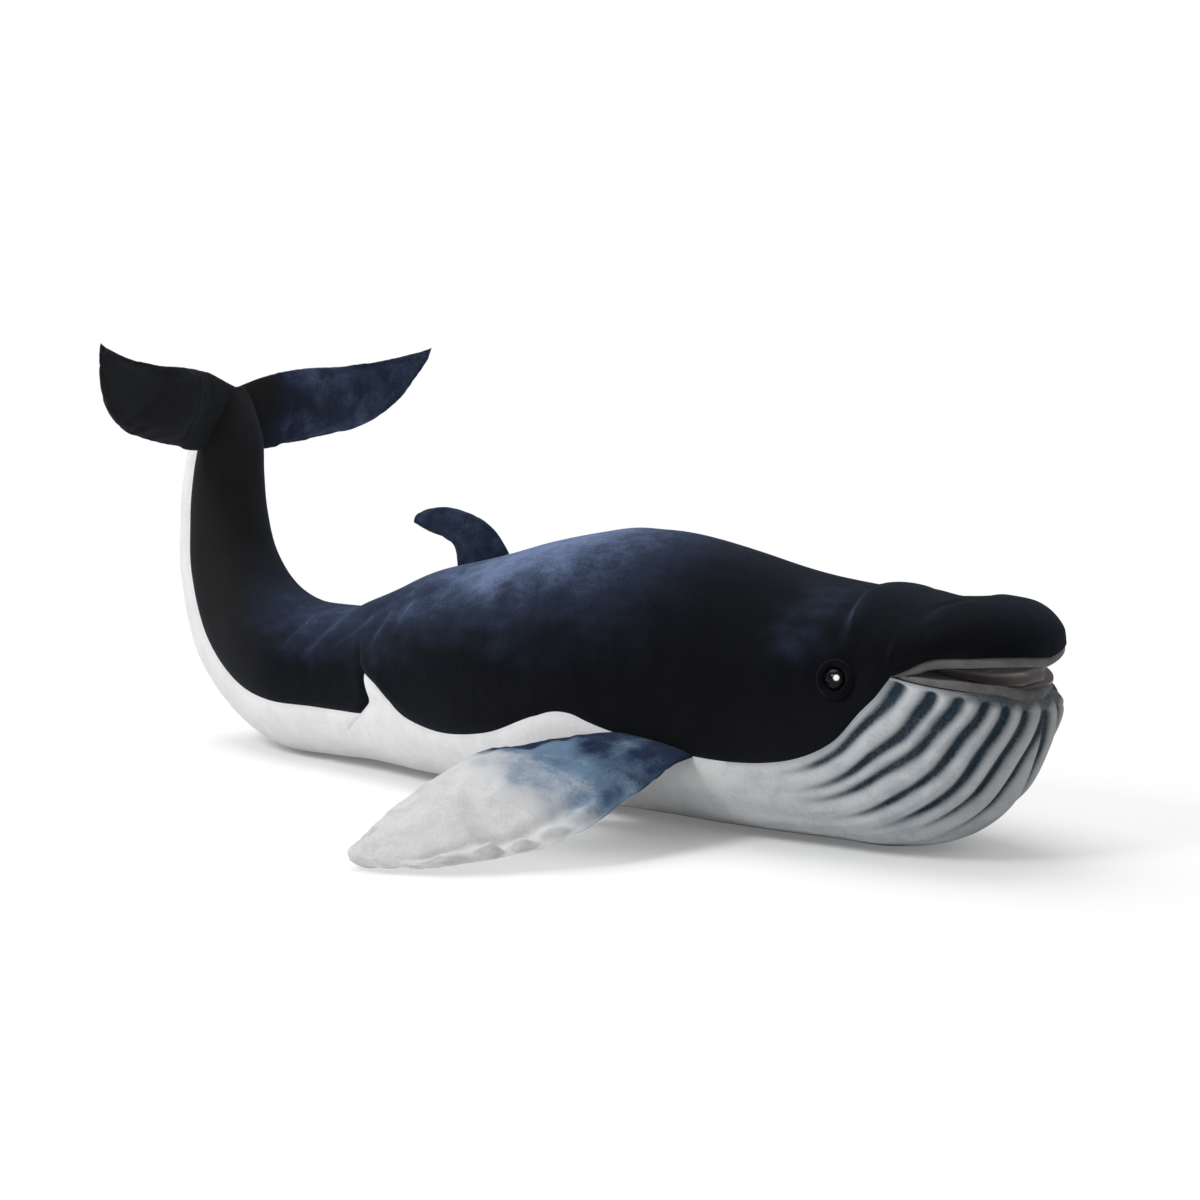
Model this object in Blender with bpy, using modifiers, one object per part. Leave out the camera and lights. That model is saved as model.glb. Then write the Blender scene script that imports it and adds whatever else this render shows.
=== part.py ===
"""Plush humpback whale, built the way it is sewn: covers over fillings.

Metres, +Z up. +X points to the snout, +Y to the whale's left. The belly rests
on z = 0 and the origin lies on the floor, under the middle of the whole toy.
"""
import math

import bmesh
import bpy
import numpy as np
from mathutils import Matrix, Vector

QUARTER_TURN = math.pi / 2.0

# Driving sizes of the body
OVERALL_LENGTH = 0.645
BACK_HEIGHT = 0.164
BODY_HALF_WIDTH = 0.080
BELLY_CUT_DEPTH = 0.0012
COVER_THICKNESS = 0.0016
SEAM_GAP = 0.0003
RING_GAP = 0.0014
RING_FILLING_GAP = 0.0012
FIT_GAP = 0.0003
FILLING_GAP = 0.0009
MERGE_DISTANCE = 1.0e-5
CUT_TOLERANCE = 3.0e-8

# Throat pleats and lips
PLEAT_RIDGES = 15
PLEAT_RISE = 0.0016
PLEAT_SINK = 0.0006
PLEAT_FADE_HEIGHT = 0.020
PLEAT_FADE_SHARE = 0.625
LIP_HEIGHT = 0.0065
LIP_THICKNESS = 0.0030
LIP_LEAN_SHARE = 0.15
LOWER_LIP_RISE = 0.0022
UPPER_LIP_SHARE = 0.60
LOWER_LIP_SHARE = 0.20
PALATE_THICKNESS = 0.0016
TONGUE_FRONT_HEIGHT = 0.0085
TONGUE_REAR_HEIGHT = 0.0030
TONGUE_LENGTH_SHARE = 0.646
TONGUE_HALF_WIDTH = 0.034
TONGUE_SETBACK_SHARE = 0.113
TONGUE_ROUND_SHARE = 0.35
TONGUE_TAPER_SHARE = 0.45
TONGUE_CROWN_SHARE = 0.25

# Safety eyes
EYE_RADIUS = 0.0064
EYE_SHANK_RADIUS = 0.0020
EYE_SHANK_LENGTH = 0.0075
EYE_WASHER_RADIUS = 0.0058
EYE_WASHER_THICKNESS = 0.0014
EYE_WASHER_DROP = 0.0016
EYE_SEAT_HEIGHT = 0.0006
EYE_SINK = 0.0015
EYELID_RADIUS = 0.0088
EYELID_ROLL_RADIUS = 0.0019
EYELID_LIFT = 0.0009
EYE_CUT_OVERRUN = 0.004
CHEEK_REACH_SHARE = 0.9
CHEEK_TURN_SHARE = 0.153

# Fins, flippers and flukes
HINGE_INSET = 0.0052
FLIPPER_ROOT_GAP = 0.0016
FLUKE_ROOT_GAP = 0.0013
FIN_ROOT_GAP = 0.0006
MIN_STUFFED_HALF = 0.0030
FLIPPER_LENGTH = 0.165
FLIPPER_HALF_THICKNESS = 0.0095
FLUKE_HALF_SPAN = 0.1545
FLUKE_HALF_THICKNESS = 0.0100
FIN_ROOT_LENGTH = 0.0412
FIN_HALF_THICKNESS = 0.0060

# Armature wire of the tail
WIRE_RADIUS = 0.0015
WIRE_RUN_OUT = 0.060

# Places along the whale, given as stations: 0 is the tail's end and 32 the snout
TAIL_FILLING_STATION = 0.25
WIRE_END_STATION = 1.0
FLUKE_FOOT_STATION = 2.05
WIRE_START_STATION = 9.0
RING_STATION = 10
FIN_REAR_STATION = 12.20
FIN_FRONT_STATION = 13.17
FLIPPER_REAR_STATION = 17.02
FLIPPER_FRONT_STATION = 18.45
THROAT_STATION = 19
EYE_STATION = 21.62
THROAT_END_STATION = 25.4
LIP_STATION = 26
MOUTH_FRONT_STATION = 31.9
SNOUT_STATION = 32

# Angles on the body as shares of a quarter turn from the middle
FLIPPER_REAR_ANGLE_SHARE = -0.055
FLIPPER_FRONT_ANGLE_SHARE = -0.145
EYE_ANGLE_SHARE = 0.085

# Where the mouth's pieces start and end, as shares of its edge
LIP_REACH_SHARE = 0.93
SNOUT_SIDE_SHARE = 0.40
PALATE_REAR_SHARE = 0.90
FLOOR_REAR_SHARE = 0.91
MOUTH_FRONT_SHARE = 0.08

# One row for each station from the tail's end to the snout. Columns: top x and
# z, middle x and z, keel x and z, half width. x is a share of OVERALL_LENGTH,
# z of BACK_HEIGHT and the half width of BODY_HALF_WIDTH.
STATION_SHARES = (
    (-0.4316, 1.417, -0.436, 1.415, -0.4416, 1.412, 0.200),
    (-0.421, 1.323, -0.443, 1.311, -0.464, 1.293, 0.250),
    (-0.415, 1.207, -0.450, 1.195, -0.486, 1.183, 0.294),
    (-0.416, 1.067, -0.455, 1.061, -0.495, 1.049, 0.325),
    (-0.413, 0.927, -0.457, 0.902, -0.4992, 0.872, 0.350),
    (-0.401, 0.787, -0.449, 0.707, -0.495, 0.622, 0.400),
    (-0.374, 0.677, -0.413, 0.512, -0.457, 0.348, 0.481),
    (-0.337, 0.616, -0.367, 0.378, -0.399, 0.140, 0.575),
    (-0.298, 0.598, -0.319, 0.311, -0.342, 0.018, 0.650),
    (-0.266, 0.598, -0.252, 0.305, -0.277, 0.000, 0.700),
    (-0.243, 0.616, -0.179, 0.311, -0.218, 0.010, 0.762),
    (-0.202, 0.701, -0.140, 0.323, -0.150, 0.000, 0.838),
    (-0.156, 0.780, -0.109, 0.335, -0.103, 0.000, 0.887),
    (-0.088, 0.848, -0.066, 0.354, -0.060, 0.000, 0.950),
    (-0.016, 0.933, -0.010, 0.366, -0.007, 0.000, 0.988),
    (0.053, 0.994, 0.047, 0.378, 0.047, 0.000, 1.000),
    (0.088, 1.003, 0.086, 0.384, 0.084, 0.000, 1.000),
    (0.129, 0.997, 0.129, 0.390, 0.125, 0.000, 1.000),
    (0.188, 0.957, 0.191, 0.409, 0.188, 0.000, 0.988),
    (0.247, 0.909, 0.250, 0.445, 0.250, 0.000, 0.950),
    (0.297, 0.884, 0.300, 0.500, 0.309, 0.000, 0.912),
    (0.329, 0.878, 0.339, 0.555, 0.368, 0.004, 0.863),
    (0.356, 0.890, 0.365, 0.598, 0.418, 0.061, 0.825),
    (0.376, 0.890, 0.382, 0.625, 0.461, 0.195, 0.794),
    (0.390, 0.884, 0.393, 0.640, 0.486, 0.378, 0.775),
    (0.398, 0.882, 0.398, 0.646, 0.495, 0.488, 0.762),
    (0.405, 0.881, 0.402, 0.652, 0.498, 0.588, 0.756),
    (0.427, 0.890, 0.415, 0.671, 0.498, 0.588, 0.706),
    (0.450, 0.899, 0.426, 0.686, 0.498, 0.588, 0.662),
    (0.472, 0.887, 0.435, 0.695, 0.498, 0.588, 0.625),
    (0.488, 0.845, 0.443, 0.699, 0.498, 0.588, 0.600),
    (0.498, 0.780, 0.449, 0.701, 0.498, 0.588, 0.588),
    (0.500, 0.704, 0.453, 0.703, 0.498, 0.588, 0.588),
)

# How far the dark and white seam lies above the middle, as a share of the
# height from the middle to the top, or below it, of the depth to the keel.
TAIL_SEAM_SHARES = (-0.50, -0.50, -0.50, -0.50, -0.48, -0.43, -0.38, -0.33, -0.27, -0.24, -0.22)
BODY_SEAM_SHARES = (
    0.30, -0.02, -0.20, -0.29, -0.22, -0.01, 0.03, -0.07, -0.22,
    -0.32, -0.35, -0.28, -0.16, -0.10, -0.05, -0.02, 0.0,
)

# How full a section is: the exponents of a superellipse above and below the
# middle of the body, and over the chord of a limb
UPPER_FULLNESS_SHARE = 0.94
LOWER_FULLNESS_SHARE = 0.88
CHORD_FULLNESS_SHARE = 2.6
EDGE_FULLNESS_SHARE = 0.6

# Rows of a limb after its root: the rear point (along, out, up), the front
# point and the half thickness. Points are shares of the limb's length, the last
# column is a share of its half thickness.
FLIPPER_ROW_SHARES = (
    ((-0.048, 0.055, 0.000), (0.345, 0.073, -0.042), 0.70),
    ((-0.164, 0.145, -0.018), (0.339, 0.200, -0.085), 1.00),
    ((-0.273, 0.255, -0.048), (0.321, 0.315, -0.127), 1.00),
    ((-0.345, 0.376, -0.085), (0.291, 0.430, -0.182), 0.95),
    ((-0.382, 0.491, -0.127), (0.230, 0.527, -0.230), 0.90),
    ((-0.400, 0.606, -0.173), (0.158, 0.612, -0.264), 0.82),
    ((-0.400, 0.721, -0.218), (0.079, 0.715, -0.285), 0.74),
    ((-0.400, 0.824, -0.264), (-0.024, 0.806, -0.303), 0.66),
    ((-0.388, 0.897, -0.288), (-0.152, 0.879, -0.314), 0.58),
    ((-0.345, 0.939, -0.310), (-0.242, 0.924, -0.319), 0.45),
)
FLUKE_ROW_SHARES = (
    ((-0.015, 0.233, -0.016), (0.321, 0.175, -0.025), 0.70),
    ((0.009, 0.324, -0.025), (0.343, 0.278, -0.034), 1.00),
    ((0.032, 0.453, -0.043), (0.360, 0.401, -0.048), 1.00),
    ((0.066, 0.583, -0.066), (0.372, 0.544, -0.071), 0.92),
    ((0.107, 0.706, -0.094), (0.396, 0.686, -0.101), 0.84),
    ((0.178, 0.816, -0.124), (0.427, 0.809, -0.132), 0.72),
    ((0.265, 0.900, -0.152), (0.457, 0.900, -0.159), 0.56),
    ((0.364, 0.958, -0.173), (0.478, 0.961, -0.179), 0.38),
    ((0.448, 0.997, -0.189), (0.499, 1.003, -0.193), 0.20),
)
FIN_ROW_SHARES = (
    ((1.055, 0.277, 0.0), (0.175, 0.308, 0.0), 1.00),
    ((1.210, 0.464, 0.0), (0.493, 0.636, 0.0), 1.00),
    ((1.432, 0.580, 0.0), (0.961, 0.867, 0.0), 0.90),
    ((1.604, 0.687, 0.0), (1.367, 0.942, 0.0), 0.80),
    ((1.767, 0.789, 0.0), (1.675, 0.915, 0.0), 0.50),
)

# How finely the pieces are faceted
COLUMNS_DARK = 7
COLUMNS_WHITE_TAIL = 6
COLUMNS_LIP = 18
BELLY_ROWS = 13
THROAT_ROWS = 12
SNOUT_ROWS = 9
TAIL_ROWS = 14
MOUTH_ROWS = 6
MOUTH_COLUMNS = 4
TONGUE_ROWS = 6
WIRE_POINTS = 14
WIRE_BEVEL_COUNT = 2
EYE_SIDES = 16
EYE_DOME_ROWS = 6
EYELID_SIDES = 8
CHEEK_FACETS = 8
KEEL_SHARES = (-1.0, -0.84, -0.64, -0.44, -0.26, -0.12, 0.12, 0.26, 0.44, 0.64, 0.84, 1.0)
CHORD_SHARES = (0.0, 0.07, 0.24, 0.5, 0.76, 0.93, 1.0)
TONGUE_COLUMN_SHARES = (-1.0, -0.85, -0.5, 0.0, 0.5, 0.85, 1.0)
END_STEP_SHARE = 1.0e-4
GAP_STEP_SHARE = 2.0e-3
NORMAL_STEP_SHARE = 4.0e-3
LIMB_STEP_SHARE = 1.0e-2
SHARP_DEGREES = 50.0

# Colours of the pieces: base colour, roughness, metallic
FINISHES = {
    "navy_plush": ((0.014, 0.020, 0.040), 0.85, 0.0),
    "black_plush": ((0.009, 0.010, 0.013), 0.85, 0.0),
    "white_plush": ((0.66, 0.66, 0.67), 0.9, 0.0),
    "throat_plush": ((0.42, 0.45, 0.47), 0.9, 0.0),
    "blue_white_plush": ((0.30, 0.36, 0.45), 0.9, 0.0),
    "grey_lip": ((0.055, 0.055, 0.054), 0.85, 0.0),
    "brown_lip": ((0.12, 0.11, 0.105), 0.85, 0.0),
    "tongue_fabric": ((0.13, 0.115, 0.11), 0.85, 0.0),
    "fiberfill": ((0.80, 0.80, 0.78), 1.0, 0.0),
    "gloss_eye": ((0.004, 0.004, 0.005), 0.05, 0.0),
    "washer_plastic": ((0.75, 0.75, 0.72), 0.45, 0.0),
    "armature_steel": ((0.55, 0.56, 0.58), 0.35, 1.0),
}


def clear_scene():
    """Remove the objects of the open scene, so that only the whale is in it."""
    for old in list(bpy.data.objects):
        bpy.data.objects.remove(old, do_unlink=True)


def new_collection(name, hidden=False):
    made = bpy.data.collections.new(name)
    bpy.context.scene.collection.children.link(made)
    made.hide_render = hidden
    return made


def finish_material(slot):
    """Principled material of one finish, made once and then shared."""
    known = bpy.data.materials.get(slot)
    if known:
        return known
    colour, roughness, metallic = FINISHES[slot]
    material = bpy.data.materials.new(slot)
    material.use_nodes = True
    shader = material.node_tree.nodes["Principled BSDF"]
    shader.inputs["Base Color"].default_value = (*colour, 1.0)
    shader.inputs["Roughness"].default_value = roughness
    shader.inputs["Metallic"].default_value = metallic
    return material


def world_place(empty):
    """World place of an unturned empty whose parents are unturned too."""
    place = Vector(empty.location)
    return place if empty.parent is None else place + world_place(empty.parent)


class Workshop:
    """Keeps the whale's collections and adds finished pieces to them."""

    def __init__(self):
        self.parts = new_collection("plush_whale")
        self.cutters = new_collection("cutters", hidden=True)

    def empty(self, name, place, parent=None):
        made = bpy.data.objects.new(name, None)
        made.empty_display_size = COVER_THICKNESS
        made.parent = parent
        made.location = place if parent is None else place - world_place(parent)
        self.parts.objects.link(made)
        return made

    def add(self, name, bm, slot, parent=None):
        """Piece of the whale, with its origin on its parent's joint axis."""
        anchor = world_place(parent) if parent else Vector((0.0, 0.0, 0.0))
        bmesh.ops.translate(bm, verts=bm.verts[:], vec=-anchor)
        # Facets of a cover and of its filling are split alike, so that they nest.
        bmesh.ops.triangulate(bm, faces=bm.faces[:], quad_method="SHORT_EDGE")
        mesh = bpy.data.meshes.new(name)
        bmesh.ops.recalc_face_normals(bm, faces=bm.faces[:])
        bm.to_mesh(mesh)
        bm.free()
        mesh.shade_smooth()
        mesh.set_sharp_from_angle(angle=math.radians(SHARP_DEGREES))
        made = bpy.data.objects.new(name, mesh)
        made.data.materials.append(finish_material(slot))
        made.parent = parent
        self.parts.objects.link(made)
        return made

    def add_cutter(self, name, bm):
        mesh = bpy.data.meshes.new(name)
        bmesh.ops.recalc_face_normals(bm, faces=bm.faces[:])
        bm.to_mesh(mesh)
        bm.free()
        made = bpy.data.objects.new(name, mesh)
        made.hide_render = True
        made.display_type = "WIRE"
        self.cutters.objects.link(made)
        return made


def cut(target, cutter):
    boolean = target.modifiers.new(cutter.name, "BOOLEAN")
    boolean.operation = "DIFFERENCE"
    boolean.solver = "EXACT"
    boolean.object = cutter


def spline(rows, place):
    """Catmull-Rom value of a table of rows at a place between two of them."""
    last = len(rows) - 1
    place = min(max(place, 0.0), float(last))
    low = min(int(place), last - 1)
    part = place - low
    before = rows[max(low - 1, 0)]
    start = rows[low]
    end = rows[low + 1]
    after = rows[min(low + 2, last)]
    return 0.5 * (
        2.0 * start
        + (end - before) * part
        + (2.0 * before - 5.0 * start + 4.0 * end - after) * part**2
        + (3.0 * start - before - 3.0 * end + after) * part**3
    )


def station_table():
    """Station rows in metres. The keel is set below the floor by the cut's depth."""
    rows = []
    for top_x, top_z, mid_x, mid_z, keel_x, keel_z, half_width in STATION_SHARES:
        keel = keel_z * BACK_HEIGHT
        if keel_z == 0.0:
            keel = -BELLY_CUT_DEPTH
        rows.append((
            top_x * OVERALL_LENGTH, top_z * BACK_HEIGHT,
            mid_x * OVERALL_LENGTH, mid_z * BACK_HEIGHT,
            keel_x * OVERALL_LENGTH, keel,
            half_width * BODY_HALF_WIDTH,
        ))
    return np.array(rows)


STATIONS = station_table()


def skin(station, angle, side):
    """Point of the whale's outer surface, before its covers get a thickness.

    The angle is a quarter turn at the top, zero at the middle and minus a
    quarter turn at the keel. The side is 1 on the left and -1 on the right.
    """
    top_x, top_z, mid_x, mid_z, keel_x, keel_z, half_width = spline(STATIONS, station)
    lift = abs(math.sin(angle))
    reach = max(math.cos(angle), 0.0)
    fullness = UPPER_FULLNESS_SHARE if angle >= 0.0 else LOWER_FULLNESS_SHARE
    lift = lift**fullness
    reach = reach**fullness
    end_x = top_x if angle >= 0.0 else keel_x
    end_z = top_z if angle >= 0.0 else keel_z
    return Vector((
        mid_x + (end_x - mid_x) * lift,
        side * half_width * reach,
        mid_z + (end_z - mid_z) * lift,
    ))


def turned(angle, side):
    """An angle past the top or the keel, brought back on the other side."""
    if angle > QUARTER_TURN:
        return math.pi - angle, -side
    if angle < -QUARTER_TURN:
        return -math.pi - angle, -side
    return angle, side


def skin_normal(station, angle, side, low=0, high=SNOUT_STATION):
    """Outward normal of the skin, from differences inside one panel's stations."""
    step = NORMAL_STEP_SHARE
    before = max(station - step, low)
    after = min(station + step, high)
    along = skin(after, angle, side) - skin(before, angle, side)
    around = skin(station, *turned(angle + step, side)) - skin(station, *turned(angle - step, side))
    normal = along.cross(around) * side
    return -normal.normalized()


def sunk(station, angle, side, depth, low=0, high=SNOUT_STATION):
    """Point a given depth under the skin."""
    return skin(station, angle, side) - depth * skin_normal(station, angle, side, low, high)


def lerp(start, end, share):
    return start + (end - start) * share


def seam_angle(station, shares, first):
    """Angle at which the dark and the white covers meet."""
    share = float(spline(np.array(shares), station - first))
    fullness = UPPER_FULLNESS_SHARE if share >= 0.0 else LOWER_FULLNESS_SHARE
    return math.copysign(math.asin(min(abs(share), 1.0) ** (1.0 / fullness)), share)


def tail_seam(station):
    return seam_angle(station, TAIL_SEAM_SHARES, 0)


def body_seam(station):
    if station >= LIP_STATION:
        return 0.0
    return seam_angle(station, BODY_SEAM_SHARES, RING_STATION)


def steps(start, end, count):
    return [lerp(start, end, index / count) for index in range(count + 1)]


def inset_ends(values, start_gap, end_gap):
    """The same values with both ends drawn in, for the gap of a seam."""
    values = list(values)
    values[0] += start_gap
    values[-1] -= end_gap
    return values


def slab(rows, columns, place):
    """Closed slab over a grid of rows and columns.

    place(row, column, depth) gives a point, with depth 0 outside and 1 inside.
    """
    bm = bmesh.new()
    bmesh.ops.create_grid(bm, x_segments=len(rows) - 1, y_segments=len(columns) - 1, size=0.5)
    outside = bmesh.ops.extrude_face_region(bm, geom=bm.faces[:], use_keep_orig=True)
    for item in outside["geom"]:
        if isinstance(item, bmesh.types.BMVert):
            item.co.z = 1.0
    for vert in bm.verts:
        row = rows[round((vert.co.x + 0.5) * (len(rows) - 1))]
        column = columns[round((vert.co.y + 0.5) * (len(columns) - 1))]
        vert.co = place(row, column, vert.co.z)
    return bm


def loft(rings):
    """Closed solid through rings that are alike on both sides of the middle.

    A ring starts at a point on the right and its right half ends at the top.
    Each cap is made of strips between the points that mirror each other.
    """
    bm = bmesh.new()
    verts = [[bm.verts.new(point) for point in ring] for ring in rings]
    count = len(rings[0])
    for low, high in zip(verts, verts[1:]):
        for index in range(count):
            following = (index + 1) % count
            bm.faces.new((low[index], low[following], high[following], high[index]))
    for ring in (verts[0], verts[-1]):
        right = [ring[(COLUMNS_DARK - step) % count] for step in range(count // 2 + 1)]
        left = [ring[(COLUMNS_DARK + step) % count] for step in range(count // 2 + 1)]
        for step in range(count // 2):
            corners = [right[step], right[step + 1], left[step + 1], left[step]]
            bm.faces.new(list(dict.fromkeys(corners)))
    bmesh.ops.recalc_face_normals(bm, faces=bm.faces[:])
    return bm


def rest_flat(bm):
    """Cut what dips under the floor, so that the toy rests on a flat face."""
    everything = bm.verts[:] + bm.edges[:] + bm.faces[:]
    bmesh.ops.bisect_plane(
        bm, geom=everything, dist=CUT_TOLERANCE,
        plane_co=(0.0, 0.0, 0.0), plane_no=(0.0, 0.0, 1.0), clear_inner=True,
    )
    bmesh.ops.holes_fill(bm, edges=[edge for edge in bm.edges if edge.is_boundary], sides=0)
    return bm


def gap_in_stations(station, angle, side, gap):
    """How many stations a gap along the body spans."""
    step = GAP_STEP_SHARE
    length = (skin(station + step, angle, side) - skin(station - step, angle, side)).length
    return gap * 2.0 * step / length


def gap_in_angle(station, angle, side, gap):
    """How much of a turn a gap around the body spans."""
    step = GAP_STEP_SHARE
    span = skin(station, *turned(angle + step, side)) - skin(station, *turned(angle - step, side))
    return gap * 2.0 * step / span.length


def panel_place(arc, low, high, thickness, relief=None):
    """Place function of a cover: arc(station, share) gives its angle and side."""
    def place(station, share, depth):
        angle, side = arc(station, share)
        # Stations at the ends of a cover draw in by half of the seam's gap.
        half_gap = (RING_GAP if station == RING_STATION else SEAM_GAP) / 2.0
        if station == low:
            station += gap_in_stations(station + END_STEP_SHARE, angle, side, half_gap)
        elif station == high:
            station -= gap_in_stations(station - END_STEP_SHARE, angle, side, half_gap)
        point = sunk(station, angle, side, depth * thickness, low, high)
        if station > LIP_STATION and (share == 0.0 or station > MOUTH_FRONT_STATION):
            # The mouth's rim is level, so that the lip can hang under it.
            point.z = skin(station, angle, side).z
        if relief and depth == 0.0:
            normal = skin_normal(station, angle, side, low, high)
            point = point + normal * relief(station, share, point)
        return point

    return place


def dark_arc(seam, side):
    """From the seam with the white cover up to the seam along the back."""
    def arc(station, share):
        start = seam(station)
        end = QUARTER_TURN
        start += gap_in_angle(station, start, side, SEAM_GAP / 2.0)
        end -= gap_in_angle(station, end, side, SEAM_GAP / 2.0)
        return lerp(start, end, share), side
    return arc


def white_arc(seam):
    """From the right seam under the keel to the left seam, shares -1 to 1."""
    def arc(station, share):
        side = 1 if share >= 0.0 else -1
        start = -QUARTER_TURN
        end = seam(station)
        end -= gap_in_angle(station, end, side, SEAM_GAP / 2.0)
        return lerp(start, end, abs(share)), side
    return arc


def dark_cover(shop, name, seam, side, low, high, rows, slot, parent=None):
    columns = steps(0.0, 1.0, COLUMNS_DARK)
    place = panel_place(dark_arc(seam, side), low, high, COVER_THICKNESS)
    bm = slab(rows, columns, place)
    return shop.add(name, bm, slot, parent)


def white_cover(shop, name, seam, low, high, rows, columns, slot, parent=None, relief=None):
    place = panel_place(white_arc(seam), low, high, COVER_THICKNESS, relief)
    bm = rest_flat(slab(rows, columns, place))
    return shop.add(name, bm, slot, parent)


def pleat_relief(station, share, point):
    """Height of the throat's pleats: ridges and grooves that fade out rearwards."""
    ridge = math.cos(math.pi * share * PLEAT_RIDGES)
    forward = (station - THROAT_STATION) / (LIP_STATION - THROAT_STATION)
    fade = min(max(forward / PLEAT_FADE_SHARE, 0.0), 1.0)
    lifted = min(max(point.z / PLEAT_FADE_HEIGHT, 0.0), 1.0)
    edge = 1.0 if abs(share) < 1.0 else 0.0
    height = PLEAT_RISE if ridge > 0.0 else PLEAT_SINK
    return height * ridge * fade * lifted * edge


def ring_of_skin(station, depth, seam, dark_count, white_shares, low, high):
    """Closed ring under the covers, whose points line up with the covers' own."""
    points = []
    seam_height = seam(station)
    for side, order in ((-1, 1), (1, -1)):
        shares = steps(0.0, 1.0, dark_count)[::order]
        if side == 1:
            shares = shares[1:]
        for share in shares:
            angle = lerp(seam_height, QUARTER_TURN, share)
            points.append(sunk(station, angle, side, depth, low, high))
    for share in white_shares[1:-1][::-1]:
        side = 1 if share >= 0.0 else -1
        angle = lerp(-QUARTER_TURN, seam_height, abs(share))
        points.append(sunk(station, angle, side, depth, low, high))
    return points


def filling_rings(rows, seam, white_shares, low, high):
    depth = COVER_THICKNESS + FILLING_GAP
    return [
        ring_of_skin(row, depth, seam, COLUMNS_DARK, white_shares, low, high)
        for row in rows
    ]


def belly_rows():
    return steps(RING_STATION, THROAT_STATION, BELLY_ROWS)


def throat_rows():
    return steps(THROAT_STATION, THROAT_END_STATION, THROAT_ROWS)


def body_covers(shop):
    """Dark back in two halves, white belly and pleated throat."""
    rows = belly_rows() + throat_rows()[1:] + steps(LIP_STATION, SNOUT_STATION, SNOUT_ROWS)
    backs = {}
    for name, side in (("back_cover_right", -1), ("back_cover_left", 1)):
        backs[side] = dark_cover(
            shop, name, body_seam, side, RING_STATION, SNOUT_STATION, rows, "navy_plush")
    white_cover(shop, "belly_cover", body_seam, RING_STATION, THROAT_STATION,
                belly_rows(), KEEL_SHARES, "white_plush")
    columns = steps(-1.0, 1.0, 2 * PLEAT_RIDGES)
    white_cover(shop, "throat_cover", body_seam, THROAT_STATION, THROAT_END_STATION,
                throat_rows(), columns, "throat_plush", relief=pleat_relief)
    return backs


def body_filling(shop):
    """Stuffing of the body and the lower jaw, up to the mouth's corner."""
    rows = belly_rows() + throat_rows()[1:] + [LIP_STATION]
    rows[0] += gap_in_stations(RING_STATION, 0.0, 1, RING_FILLING_GAP)
    rings = filling_rings(rows, body_seam, KEEL_SHARES, RING_STATION, LIP_STATION)
    return shop.add("body_filling", loft(rings), "fiberfill")


def snout_filling(shop):
    """Stuffing of the upper jaw, flat underneath where the palate lies."""
    depth = COVER_THICKNESS + FILLING_GAP
    rows = steps(LIP_STATION, SNOUT_STATION, SNOUT_ROWS)
    rows[0] += gap_in_stations(LIP_STATION, 0.0, 1, 2.0 * FIT_GAP)
    rows[-1] -= gap_in_stations(SNOUT_STATION, QUARTER_TURN, 1, 2.0 * FIT_GAP)
    rings = []
    for station in rows:
        lowest = gap_in_angle(station, 0.0, 1, 2.0 * FIT_GAP)
        right = []
        left = []
        for angle in steps(lowest, QUARTER_TURN, COLUMNS_DARK):
            for half, side in ((right, -1), (left, 1)):
                point = sunk(station, angle, side, depth, LIP_STATION, SNOUT_STATION)
                lowest_place = upper_edge_height(point.x) + 2.0 * FIT_GAP
                raised = max(lowest_place - point.z, 0.0)
                half.append(point + Vector((-raised, -side * raised, raised)))
        under = [left[0].lerp(right[0], share) for share in (1.0 / 3.0, 2.0 / 3.0)]
        rings.append(right + left[-2::-1] + under)
    shop.add("snout_filling", loft(rings), "fiberfill")


def tail_covers(shop, joint):
    rows = steps(0.0, RING_STATION, TAIL_ROWS)
    for name, side in (("tail_cover_right", -1), ("tail_cover_left", 1)):
        dark_cover(shop, name, tail_seam, side, 0, RING_STATION, rows, "black_plush", joint)
    white_cover(shop, "tail_belly_cover", tail_seam, 0, RING_STATION, rows,
                steps(-1.0, 1.0, COLUMNS_WHITE_TAIL), "white_plush", joint)


def tail_line(station):
    """Middle line of the tail, along which its wire lies."""
    row = spline(STATIONS, station)
    return Vector((0.5 * (row[0] + row[4]), 0.0, 0.5 * (row[1] + row[5])))


def tube_mesh(name, points, radius):
    """Closed mesh of a tube along points, made from a round-bevelled curve."""
    curve = bpy.data.curves.new(name, "CURVE")
    curve.dimensions = "3D"
    curve.bevel_depth = radius
    curve.bevel_resolution = WIRE_BEVEL_COUNT
    curve.use_fill_caps = True
    run = curve.splines.new("POLY")
    run.points.add(len(points) - 1)
    for item, point in zip(run.points, points):
        item.co = (*point, 1.0)
    holder = bpy.data.objects.new(name, curve)
    bpy.context.scene.collection.objects.link(holder)
    bpy.context.view_layer.update()
    graph = bpy.context.evaluated_depsgraph_get()
    mesh = bpy.data.meshes.new_from_object(holder.evaluated_get(graph))
    bm = bmesh.new()
    bm.from_mesh(mesh)
    bmesh.ops.remove_doubles(bm, verts=bm.verts[:], dist=MERGE_DISTANCE)
    bpy.data.objects.remove(holder, do_unlink=True)
    bpy.data.curves.remove(curve)
    bpy.data.meshes.remove(mesh)
    return bm


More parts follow.
